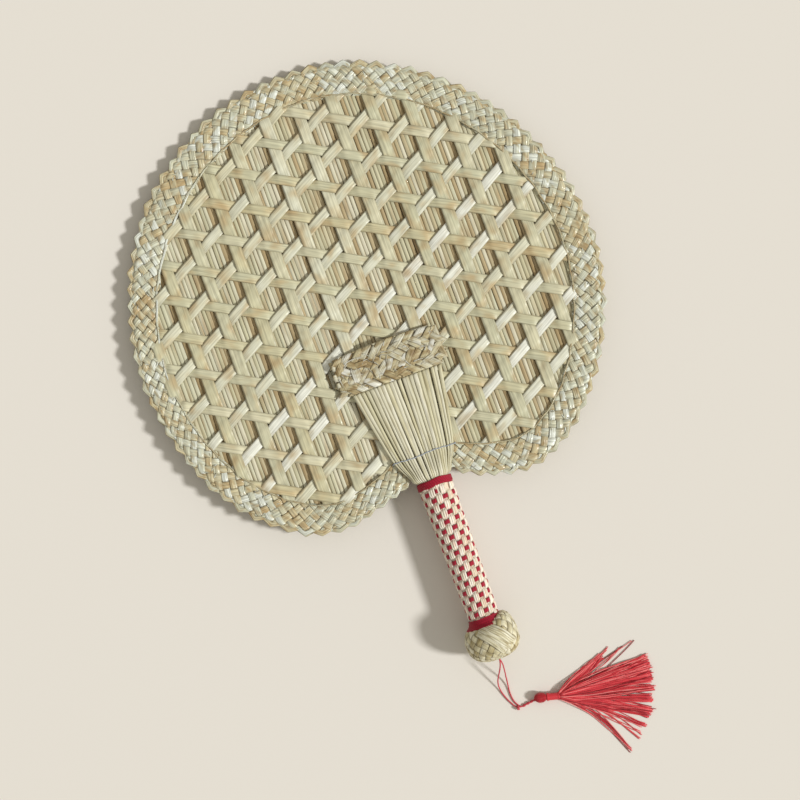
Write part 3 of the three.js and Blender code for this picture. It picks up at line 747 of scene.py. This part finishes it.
def weave_lift(x, y, way):
    """How a strip passes the others: rising over falling, falling over upright, and upright over rising."""
    lean = math.cos(math.atan(SLOPE))
    upright = near_strip(x, COLUMN, UPRIGHT_HALF)
    falling = near_strip((y - WEAVE_START + SLOPE * x) * lean, SLANT * lean, SLANT_HALF)
    rising = near_strip((y - WEAVE_START - SLOPE * x + SLANT / 2) * lean, SLANT * lean, SLANT_HALF)
    return {"upright": rising - falling, "falling": upright - rising, "rising": falling - upright}[way]


def weave_strip(start, ahead, way, half, outline, tones):
    """The runs of one strip inside the border, crowned, a little uneven, lifted over what it crosses, and
    tucked down under the border at both ends."""
    strands = []
    ahead = unit(np.array(ahead, float))
    for first, last in runs_inside(start, ahead, outline):
        if last - first < 12:
            continue
        run = np.linspace(first, last, max(int((last - first) / 1.25), 6))
        wander = 0.3 * np.sin(run / between(20, 45) + between(0, 6))
        side = beside(ahead)
        flat = np.array(start) + run[:, None] * ahead + wander[:, None] * side
        wide = half * (between(0.95, 1.03) + 0.025 * np.sin(run / 17 + between(0, 6)))
        line = points_from(*flat.T, WEAVE_HEIGHT)
        one = sweep(line, (*side, 0), ALONG_Z, CROWNED, wide, 0.34, between(*tones))
        loose = np.repeat(ease(np.minimum(run - first, last - run), 2, 7), len(CROWNED))
        lift = WEAVE_LIFT * weave_lift(one.points[:, 0], one.points[:, 1], way)
        one.points[:, 2] += loose * lift - WEAVE_TUCK * (1 - loose)
        strands.append(one)
    return strands


def weave():
    """The open hexagon weave of one side: strips in three ways, each over one way and under the third."""
    outline = hand_outline(BORDER_WIDTH - WEAVE_OVERLAP)
    strands = []
    for column in range(-6, 6):
        strands += weave_strip((column * COLUMN, 0), (0, 1), "upright", UPRIGHT_HALF, outline, (0.2, 0.75))
    for row in range(-6, 18):
        base = WEAVE_START + row * SLANT
        strands += weave_strip((0, base), (1, -SLOPE), "falling", SLANT_HALF, outline, (0, 0.6))
        # Rising strips take the palest tones, painted sheen for the lamp's highlight on them
        strands += weave_strip((0, base - SLANT / 2), (1, SLOPE), "rising", SLANT_HALF, outline, (0.6, 1))
    return strands


def make_weave(material):
    fronts = [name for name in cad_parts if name.startswith("front_") and name[-2:].isdigit()]
    make_piece("front_weave_strips", weave(), material, nodes=fronts)
    make_piece("back_weave_strips", mirrored(weave()), material, nodes=["back_weave"])


# Plaited bands
def plait_strip(number, lean, rows, base, half_pitch, row_step, height, lift, tall, passes, folds,
                cut=CROWNED):
    """A strip of a plait that goes over and under so many others at a time. Rows count outwards from base,
    and each cut is level with the band's edge. Its ends fold down, by folds, at its first and last row."""
    row = np.linspace(rows[1], rows[0], int((rows[1] - rows[0]) / 0.27))
    line = points_from(half_pitch * (2 * number + lean * row), base + row_step * row, height)
    wide = half_pitch * between(0.9, 1.04)
    one = sweep(line, ALONG_X, ALONG_Z, cut, wide, tall, between(0, 1))
    across = one.marks[:, 1]
    whole = np.repeat(row, len(cut))
    crossing = whole + lean * across * 0.48 - (passes - 1) / 2
    over = np.tanh(2.2 * np.cos(math.pi * crossing / passes))
    one.points[:, 2] -= lean * (lift + between(-0.1, 0.1)) * over + between(-0.26, 0.26) * across
    fold = folds[0] * ease(rows[0] + 0.5 - whole, 0, 0.5) + folds[1] * ease(whole - rows[1] + 0.5, 0, 0.5)
    one.points[:, 2] -= fold
    return one


def tooth(middle, peak, height):
    """Two strips folded together at the border's edge into a point: one leg comes up to it from under the
    plait, and the other goes down again. Peak is how far in the middle of the outer strip's point lies."""
    share = np.linspace(-1, 1, 13)
    along = TOOTH_LEG * share * np.abs(share) ** 0.4
    slope = between(0.5, 0.7)
    roof = between(-0.5, 0.4) - peak - slope * (np.sqrt(along ** 2 + 0.05) - 0.2)
    tilt = between(0.1, 0.4) * np.tanh(3 * along)
    ups = points_from(np.sin(tilt), 0, np.cos(tilt))
    strips = []
    for ply in range(2):
        reach = roof - (2.9 + between(-0.3, 0.3)) * ply
        z = height - 0.35 * ply - 0.05 * along - 0.024 * along ** 2 + between(-0.15, 0.15)
        line = points_from(middle + along, reach, z)
        strips.append(sweep(line, ALONG_Y, ups, FOLDED, between(1.6, 1.9), 0.42, between(0, 1)))
    return strips


def ridge(start):
    """A piece of the border's inner edge, where it is folded over: thin and brown, but wider on the blade's
    left, four fifths of the way round, and painted paler there as a highlight where it faces the lamp."""
    along = np.linspace(start, start + between(18, 26), 14)
    inner_edge = 0.5 - BORDER_WIDTH + 0.25 * np.sin(along / 2.9) + between(-0.2, 0.2)
    line = points_from(along, inner_edge, 2.5 + 0.15 * np.cos(along / 2.9))
    # Painted highlight: paler tones on the blade's left, where the ridge faces the lamp
    paler_where_lit = 0.75 * (1 - ease(abs(start / RIM_LENGTH - 0.8), 0.07, 0.14))
    wide = 0.5 + 0.4 * paler_where_lit
    return sweep(line, ALONG_Y, ALONG_Z, ROUND, wide, 0.45, between(0, 0.3) + paler_where_lit)


def border():
    """One side's border: teeth of folded strips round the edge, a close plait over their feet, a ridge along
    its inner edge, and split ends."""
    strands = []
    teeth = round(RIM_LENGTH / TOOTH_PITCH)
    for i in range(teeth):
        strands += tooth((i + between(0, 0.1)) * RIM_LENGTH / teeth, peak=4, height=1.7)
        strands += tooth((i + between(0.43, 0.57)) * RIM_LENGTH / teeth, peak=1.3, height=2.35)
    count = round(RIM_LENGTH / PLAIT_PITCH)
    for i in range(count):
        for lean in (-1, 1):
            one = plait_strip(i, lean, rows=(-0.3, 4.65), base=0.6 - BORDER_WIDTH + between(-0.4, 0.4),
                              half_pitch=RIM_LENGTH / count / 2, row_step=3.8, height=2.2, lift=0.5,
                              tall=0.62, passes=1, folds=(1.2, 0.7), cut=ARCHED)
            one.points[:, 2] -= 0.7 * (1 - ease(one.points[:, 1], -22, -16))
            strands.append(one)
    strands += [ridge(start) for start in np.arange(0, RIM_LENGTH, RIDGE_PITCH)]
    for _ in range(BORDER_SPLITS):
        strands.append(sliver(between(0, RIM_LENGTH), between(-19, -6), between(0, 360), between(2, 4), 2.9))
    return on_rim(strands)


def sliver(x, y, heading, length, height):
    """A split end of straw that stands off the plait."""
    share = np.linspace(0, 1, 6)
    angle = math.radians(heading)
    bowed = y + length * share * math.sin(angle) + 0.4 * np.sin(3 * share)
    line = points_from(x + length * share * math.cos(angle), bowed, height + 0.5 * share)
    # The split ends take pale tones, partly painted highlight for the glints of crumpled straw
    return strand(line, ALONG_Z, FLAT, 0.42 * (1.05 - share ** 2), 0.16, between(0.75, 0.95))


def patch_layer(height, lift, first):
    """One layer of the patch's plait, over two and under two, drawn in loosely by hand."""
    half_pitch = PATCH_PITCH / 2
    strands = []
    for i in range(-8, 9):
        for lean in (-1, 1):
            rows = np.linspace(-0.42, PATCH_ROWS + 0.42, 60)
            x = half_pitch * (2 * i + lean * rows)
            right_end = PATCH_HALF - 0.5 - 1.2 * np.abs(rows - PATCH_ROWS / 2)
            inside = rows[(x > 1.5 - PATCH_HALF) & (x < right_end)]
            if len(inside) < 9:
                continue
            one = plait_strip(i, lean, rows=(inside[0], inside[-1]), base=PATCH_FOOT + first,
                              half_pitch=half_pitch, row_step=PATCH_HEIGHT / PATCH_ROWS,
                              height=height + between(-0.15, 0.15), lift=lift, tall=0.42, passes=2,
                              folds=(0.7, 0.5))
            one.points[:, 0] += between(-0.9, 0.9) + between(-0.11, 0.11) * (one.points[:, 1] - PATCH_MIDDLE)
            one.points[:, 1] -= 2 * (one.points[:, 0] / PATCH_HALF) ** 2 * ease(one.points[:, 1], 64, 92)
            strands.append(one)
    return strands


# Strips that close the patch's ends: middle x, how far they bow, half width and height
END_STRIPS = [(-34.6, 0.8, 2.6, 6), (-31.6, -0.4, 2.2, 6.6), (33.6, -0.5, 2.2, 6.2)]

# Loose strips over the patch's plait: middle x and y, heading in degrees, length, half width and tone
LOOSE_STRIPS = [
    (4, 79.6, -47, 14, 1.8, 0.55), (-23, 76.4, 88, 11, 3.2, 0.85), (-8.4, 86, 47, 10, 2.2, 0.6),
    (13.2, 77, 52, 12, 2.3, 0.35), (-1, 76, 57, 9, 2, 0.95), (-18.3, 82, 2, 10, 2.2, 0.1),
    (28, 78, 55, 10, 1.7, 1), (4, 69.4, 16, 10, 1.9, 0.1), (-31.4, 84, 48, 10, 2.1, 0.2),
    (-10.4, 73.6, 100, 9, 2.4, 0.7), (20, 84, -38, 11, 2, 0.75), (23, 70.6, 20, 11, 1.6, 0.8),
    (-28, 70, -12, 10, 1.8, 0.3),
]

# The longest split ends on the patch: x, y, heading in degrees and length
SPLIT_ENDS = [
    (-28.5, 85.5, 5, 12), (1.2, 85, 17, 9), (-12.5, 72, -8, 6.5), (14, 72, -4, 8.5),
    (-34.5, 78, -78, 7), (-36, 70, -30, 8), (21, 84, 8, 5), (-20, 79, 40, 5),
]

# Strips that curl up at the patch's left end: x, y and half width
CURLS = [(-36, 74, 1.8), (-36.4, 79, 2.6), (-35.4, 85.5, 2.4)]


def end_strip(x, bow, half, height):
    """A strip across one end of the patch, bowed by hand and bent down where it is sewn."""
    y = np.linspace(67.5, 89.5, 26)
    bowed = x + bow * np.cos((y - PATCH_MIDDLE) / 6) + 0.3 * np.sin(y / 2.1)
    z = height + 0.4 * np.sin(y / 2.6) - 1.2 * (np.abs(y - 78.5) / 11) ** 4
    return sweep(points_from(bowed, y, z), (1, 0, 0.15), ALONG_Z, ARCHED, half, 0.6, between(0, 1))


def loose_strip(x, y, heading, length, half, tone):
    """A strip that comes up out of the plait, lies over it for a while and goes down again."""
    share = np.linspace(0, 1, 15)
    angle = math.radians(heading)
    along = (share - 0.5) * length
    z = 7.3 - 1.7 * np.abs(2 * share - 1) ** 3
    line = points_from(x + along * math.cos(angle), y + along * math.sin(angle), z)
    return strand(line, (0, 0.1, 1), ARCHED, half, 0.4, tone)


def curl(x, y, half):
    """A strip's end that curls up."""
    angle = np.linspace(-1.2, 2.6, 18)
    line = points_from(x + 1.1 * np.cos(angle), y, 6.3 + 0.8 * np.sin(angle))
    return sweep(line, ALONG_Y, points_from(np.cos(angle), 0, np.sin(angle)), FLAT, half, 0.2, 0.7)


def patch():
    """The coarse plait sewn over the straws' upper ends, frayed, with a curl at its left end."""
    strands = patch_layer(height=5.6, lift=0.2, first=0.3) + patch_layer(height=6.3, lift=0.5, first=0)
    strands += [end_strip(*one) for one in END_STRIPS]
    strands += [loose_strip(*one) for one in LOOSE_STRIPS]
    strands += [sliver(*one, 7.2) for one in SPLIT_ENDS]
    for _ in range(PATCH_SPLITS):
        strands.append(sliver(between(-35, 30), between(67, 90), between(-70, 70), between(3, 7), 7))
    return strands + [curl(*one) for one in CURLS]


# Neck: y, half width, height at the sides and in the middle, how far the layer has turned round, thickness
NECK_STATIONS = np.array([
    (74.6, 30.5, 4.35, 4.35, 0, 0.8), (65.5, 30.5, 4.35, 4.35, 0, 0.8), (61.5, 29.7, 5.1, 5.1, 0, 2.2),
    (38, 25.2, 5.2, 5.8, 0.1, 2.4), (14.7, 20, 5.2, 6.4, 0.2, 2.5), (3.7, 14, 5.2, 9.7, 0.7, 2.5),
    (0, 12.15, 5.2, 9.7, 0.9, 2.3), (-2.6, 9.553, 1.684, 9.7, 1, 2.2), (-7.1, 9.553, 1.684, 9.7, 1, 2.2),
])
STITCH_STATION = NECK_STATIONS[4]
STITCH_FOOT = np.array([(21.4, 14.5, 2.6), (21, 14.6, 4.6)])


def neck_point(station, across):
    """The middle of the straw layer at a station: across runs from -1 at its left side to 1 at its right."""
    y, half, side, crown, turned, _ = station
    angle = across * NECK_FOOT
    spread = across + (math.sin(angle) / math.sin(NECK_FOOT) - across) * turned
    up = (math.cos(angle) - math.cos(NECK_FOOT)) / (1 - math.cos(NECK_FOOT))
    return half * spread, y, side + (crown - side) * up


def neck_straws():
    """One side's straws, from under the patch down to the handle, where they bunch up."""
    strands = []
    edge = 0.98 / NECK_STRAWS
    for i in range(NECK_STRAWS):
        drift = np.interp(range(len(NECK_STATIONS)), (0, 2, 4, 8), between(-0.5, 0.5, 4)) / NECK_STRAWS
        places = np.clip((2 * i + 1) / NECK_STRAWS - 1 + drift, edge - 1, 1 - edge)
        line, left, right = (smooth_line([neck_point(*pair) for pair in zip(NECK_STATIONS, places + off)], 5)
                             for off in (0, -edge, edge))
        wide = np.linalg.norm(right - left, axis=1) / 2 * between(0.9, 1.25)
        line[:, 2] += between(-0.45, 0.35) * ease(64 - line[:, 1], 0, 8) * ease(line[:, 1], -2, 8)
        tall = smooth_line(NECK_STATIONS[:, 5:], 5)[:, 0] / 2 * between(0.92, 1.05)
        sides = unit(right - left)
        ups = np.cross(sides, unit(np.gradient(line, axis=0)))
        strands.append(sweep(line, sides, ups, PUFFED, wide, tall, between(0, 1)))
    return strands


def neck_thread():
    """The sewing thread across the straws: it dips between them and goes down into the blade at its ends."""
    across = np.linspace(-1, 1, 12 * NECK_STRAWS + 1)
    line = np.array([neck_point(STITCH_STATION, place) for place in across])
    line[:, 2] += 1.45 + 0.16 * np.cos(math.pi * NECK_STRAWS * (across + 1))
    line[:, 1] += 0.35 * np.sin(5 * across) + 0.12 * np.sin(23 * across)
    left = smooth_line([*STITCH_FOOT * (-1, 1, 1), line[0]], 4)[:-1]
    right = smooth_line([line[-1], *STITCH_FOOT[::-1]], 4)[1:]
    return [strand(np.concatenate([left, line, right]), (0, 0.05, 1), THREAD, 0.31, 0.31, 0.6)]


# Handle
def outward(angle):
    """Away from the handle's axis: angle 0 is the front, and it grows to the right."""
    return points_from(np.sin(angle), 0, np.cos(angle))


def sideward(angle):
    """Round the handle's axis, the way the angle grows."""
    return points_from(np.cos(angle), 0, -np.sin(angle))


def round_handle(angle, y, radius):
    """Points round the handle's axis."""
    return points_from(radius * np.sin(angle), y, radius * np.cos(angle))


def grip_radius(y):
    share = np.clip((GRIP_TOP - y) / GRIP_LENGTH, 0, 1)
    return GRIP_TOP_RADIUS + (GRIP_FOOT_RADIUS - GRIP_TOP_RADIUS) * share


def grip_turn(y):
    """The lengthwise straws drift to the left on their way down."""
    return GRIP_TWIST * (y - GRIP_TOP) / GRIP_LENGTH


def make_grip(straws, cotton):
    """Seventeen strands of three fine straws down the handle, and a red thread wound over and under them."""
    first_row = GRIP_TOP - 2.8
    y = np.linspace(GRIP_TOP + 2.2, GRIP_TOP - GRIP_LENGTH + 0.4, 190)
    strands = []
    for i in range(GRIP_STRAWS):
        angle = math.tau * i / GRIP_STRAWS + grip_turn(y)
        turn = angle / math.tau + (first_row - y) / WEFT_PITCH
        over = np.tanh(-2.4 * np.cos(math.pi * (turn + i)))
        wide = math.pi * grip_radius(y) / GRIP_STRAWS * (0.98 + 0.1 * over) * between(0.94, 1.04)
        for place in (-0.64, 0, 0.64):
            own = angle + place * wide / grip_radius(y)
            radius = grip_radius(y) - 1.1 + 0.55 * over - 0.25 * place ** 2 + between(-0.1, 0.06)
            line = round_handle(own, y, radius)
            tall = 0.75 + 0.1 * over
            strands.append(sweep(line, sideward(own), outward(own), ROUND, 0.36 * wide, tall, between(0, 1)))
    make_piece("grip_straws", strands, straws, nodes=["grip_sleeve"])
    angle = np.linspace(0, -math.tau * WEFT_TURNS, 2600)
    y = first_row + WEFT_PITCH * angle / math.tau + 0.35 * np.sin(angle)
    over = np.cos(GRIP_STRAWS * (angle - grip_turn(y)) / 2)
    radius = grip_radius(y) - 1 + 0.85 * np.tanh(2 * over)
    ribbon = sweep(round_handle(angle, y, radius), ALONG_Y, outward(angle), FLAT, 1.35, 0.4, 0.6)
    make_piece("grip_weft", [ribbon], cotton, nodes=["grip_weft_thread"])


# The windings of the red bands: pairs of height and radius along the side, how many turns, the thread's half
# thickness, and how far its turns stray up and down together
BANDS = {
    "upper": [
        ([(-2.5, 11.15), (-7.2, 11.1)], 10, 0.32, 0.45),
        ([(-6.9, 11.5), (-2.9, 11.5)], 8, 0.28, 0.45),
    ],
    "lower": [
        ([(-95.5, 10.1), (-98.2, 10.5), (-99.2, 11.3), (-100.1, 12.5), (-100.8, 13.6)], 16, 0.38, 0.15),
        ([(-97.2, 10.6), (-98.7, 11.2), (-99.5, 12.1)], 7, 0.28, 0.15),
    ],
}


def winding(side, turns, half, stray):
    """Thread wound round the handle."""
    side = np.array(side, float)
    share = np.linspace(0, 1, turns * 36)
    run = lengths(side) / lengths(side)[-1]
    y, radius = read_off(share, run, side)
    angle = share * turns * math.tau + 2.6
    y += 0.05 * np.sin(23 * share) + stray * (np.sin(2 * angle + 1) + 0.55 * np.sin(5 * angle))
    radius += 0.08 * np.sin(31 * share + 1)
    line = round_handle(angle, y, radius)
    return strand(line, outward(angle), THREAD, half, 1.1 * half, between(0.3, 0.8))


def make_bands(cotton):
    """Red thread wound round the straws' feet, and round the grip's end and the shoulder of the knob."""
    for place, windings in BANDS.items():
        strands = [winding(*one) for one in windings]
        make_piece(place + "_band_winding", strands, cotton, nodes=[place + "_red_band"])


def knob_profile():
    """The knob's side from its upper hole to the cord's: radius and height, and its outward slopes."""
    angle = np.linspace(math.asin(UPPER_HOLE), -math.asin(LOWER_HOLE), 140)
    level = np.abs(np.sin(angle)) ** 0.8 * np.sign(angle)
    radius = (KNOB_RADIUS - 1.1) * np.cos(angle) ** 0.74
    side = np.stack([radius, KNOB_MIDDLE + (KNOB_HALF - 0.35) * level], 1)
    ahead = unit(np.gradient(side, axis=0))
    return side, beside(ahead)


def knob_height(x, y):
    """How far the knob's skin stands in front of the handle's axis."""
    reach = KNOB_RADIUS * np.maximum(1 - np.abs((y - KNOB_MIDDLE) / KNOB_HALF) ** 2.5, 0) ** 0.4
    return np.sqrt(np.maximum(reach ** 2 - x ** 2, 0))


def fuller(points):
    """Raises the knob's upper right shoulder, where the strips were wound thicker, over the red band."""
    points[:, 1] += 4.6 * ease(points[:, 0], 1, 14) * ease(points[:, 1], KNOB_MIDDLE - 4, KNOB_MIDDLE + 9)


def knob_strip(number, lean, side, slopes, row):
    """A strip wound down the ball from hole to hole, slanting and going over and under those it crosses."""
    at_row = np.linspace(0, row[-1], 64)
    radius, y = read_off(at_row, row, side)
    out, up = read_off(at_row, row, slopes)
    angle = math.pi / KNOB_STRIPS * (2 * number + lean * at_row)
    normals = unit(points_from(np.sin(angle) * out, up, np.cos(angle) * out))
    wide = math.pi / KNOB_STRIPS * radius * between(0.92, 1.02)
    one = sweep(round_handle(angle, y, radius), sideward(angle), normals, ARCHED, wide, 0.65, between(0, 1))
    crossing = np.repeat(at_row, len(ARCHED)) + lean * one.marks[:, 1] * 0.48
    over = lean * np.tanh(2.2 * np.cos(math.pi * crossing))
    one.points[:] += np.repeat(normals, len(ARCHED), axis=0) * (0.45 * over)[:, None]
    fuller(one.points)
    return one


def knob_bundle():
    """Fine straws laid side by side over the knob's face, from under the red band to its lower right."""
    strands = []
    middle = smooth_line([(-5.6, -100.2), (-2.6, -103), (1.6, -107.6), (5.6, -112.6), (9.4, -118.2)], 9)
    ahead = unit(np.gradient(middle, axis=0))
    share = np.linspace(0, 1, len(middle))
    tuck = 1.3 * (1 - ease(share, 0, 0.1) * (1 - ease(share, 0.88, 1)))
    for i in range(10):
        aside = (i - 4.5) * (0.95 + 0.35 * share)
        x, y = (middle + beside(ahead) * aside[:, None]).T
        line = points_from(x, y, knob_height(x, y) + 0.45 + between(-0.12, 0.1) - tuck)
        normals = unit(line - (0, KNOB_MIDDLE, 0))
        # The bundle takes the paler tones, partly painted highlight for the light it catches
        strands.append(strand(line, normals, PUFFED, 0.6 + 0.14 * share, 0.42, between(0.6, 1)))
        fuller(strands[-1].points)
    return strands


def make_knob(material):
    """Flat strips wound both ways round the ball, over and under, and the bundle across its face."""
    side, slopes = knob_profile()
    reach = (side[:, 0] / KNOB_RADIUS) ** 0.45
    step = np.diff(lengths(side)) / (KNOB_ROW * (reach[1:] + reach[:-1]) / 2)
    row = np.concatenate([[0], np.cumsum(step)])
    strands = [knob_strip(i, lean, side, slopes, row) for i in range(KNOB_STRIPS) for lean in (-1, 1)]
    make_piece("knob_strips", strands + knob_bundle(), material, nodes=["knob_cover"])


def dress_hidden():
    """Finishes for what is inside the handle and the knob."""
    core = hidden_fill("bound_reeds", ["#7A6238", "#A88E5C", "#C2AB7A"], (900, 60, 900))
    stuffing = hidden_fill("packed_straw", ["#5E4A28", "#8C7646", "#AA9462"], (500, 400, 500))
    knotted = hidden_fill("knotted_cotton", ["#8F2028", "#C0283A", "#D24450"], (1400, 1400, 1400))
    for node, material in (("handle_core", core), ("knob_core", stuffing), ("cord_anchor", knotted)):
        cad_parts[node].data.materials.clear()
        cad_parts[node].data.materials.append(material)


# Floor and light
def make_stage():
    """A plain pale floor, a hair under the fan, that takes its shadow."""
    half, drop = 4, 0.2 * MM
    mesh = bpy.data.meshes.new("floor")
    corners = [(x * half, y * half, -drop) for x, y in ((-1, -1), (1, -1), (1, 1), (-1, 1))]
    mesh.from_pydata(corners, [], [(0, 1, 2, 3)])
    floor = bpy.data.objects.new("floor", mesh)
    bpy.context.scene.collection.objects.link(floor)
    material, surface = new_material("pale_floor")
    connect(surface, [("Base Color", paint("#E2DDD4")), ("Roughness", 0.9)])
    mesh.materials.append(material)


def make_light():
    """A broad lamp from the lower right, and an even pale sky, at half strength except to the camera."""
    lamp = bpy.data.objects.new("key", bpy.data.lights.new("key", "SUN"))
    lamp.data.energy = 2.8
    lamp.data.angle = math.radians(8)
    azimuth, height = math.radians(-28), math.radians(40)
    level = math.cos(height)
    towards = Vector((math.cos(azimuth) * level, math.sin(azimuth) * level, math.sin(height)))
    lamp.rotation_euler = towards.to_track_quat("Z", "Y").to_euler()
    bpy.context.scene.collection.objects.link(lamp)
    world = bpy.data.worlds.new("sky")
    world.use_nodes = True
    tree = world.node_tree
    seen = add(tree, "LightPath", out="Is Camera Ray")
    strength = add(tree, "MapRange", [(TO_LOW, 0.5), (TO_HIGH, 1)], [(0, seen)])
    connect(tree.nodes["Background"], [("Color", paint("#F4F0E6"))], [("Strength", strength)])
    bpy.context.scene.world = world
    bpy.context.scene.view_settings.view_transform = "Standard"


make_camera()
make_cords()
make_mat(mat_straw())
make_weave(weave_straw())
make_both_sides("border_plait", border, border_straw(), "border_braid")
make_both_sides("patch_plait", patch, patch_straw(), "patch_braid")
make_both_sides("neck_bundle", neck_straws, neck_straw(), "neck_straws")
make_both_sides("neck_stitch", neck_thread, sewing_thread(), "neck_thread")
make_grip(grip_straw(), weft_thread())
make_bands(red_thread())
make_knob(knob_straw())
dress_hidden()
make_stage()
make_light()
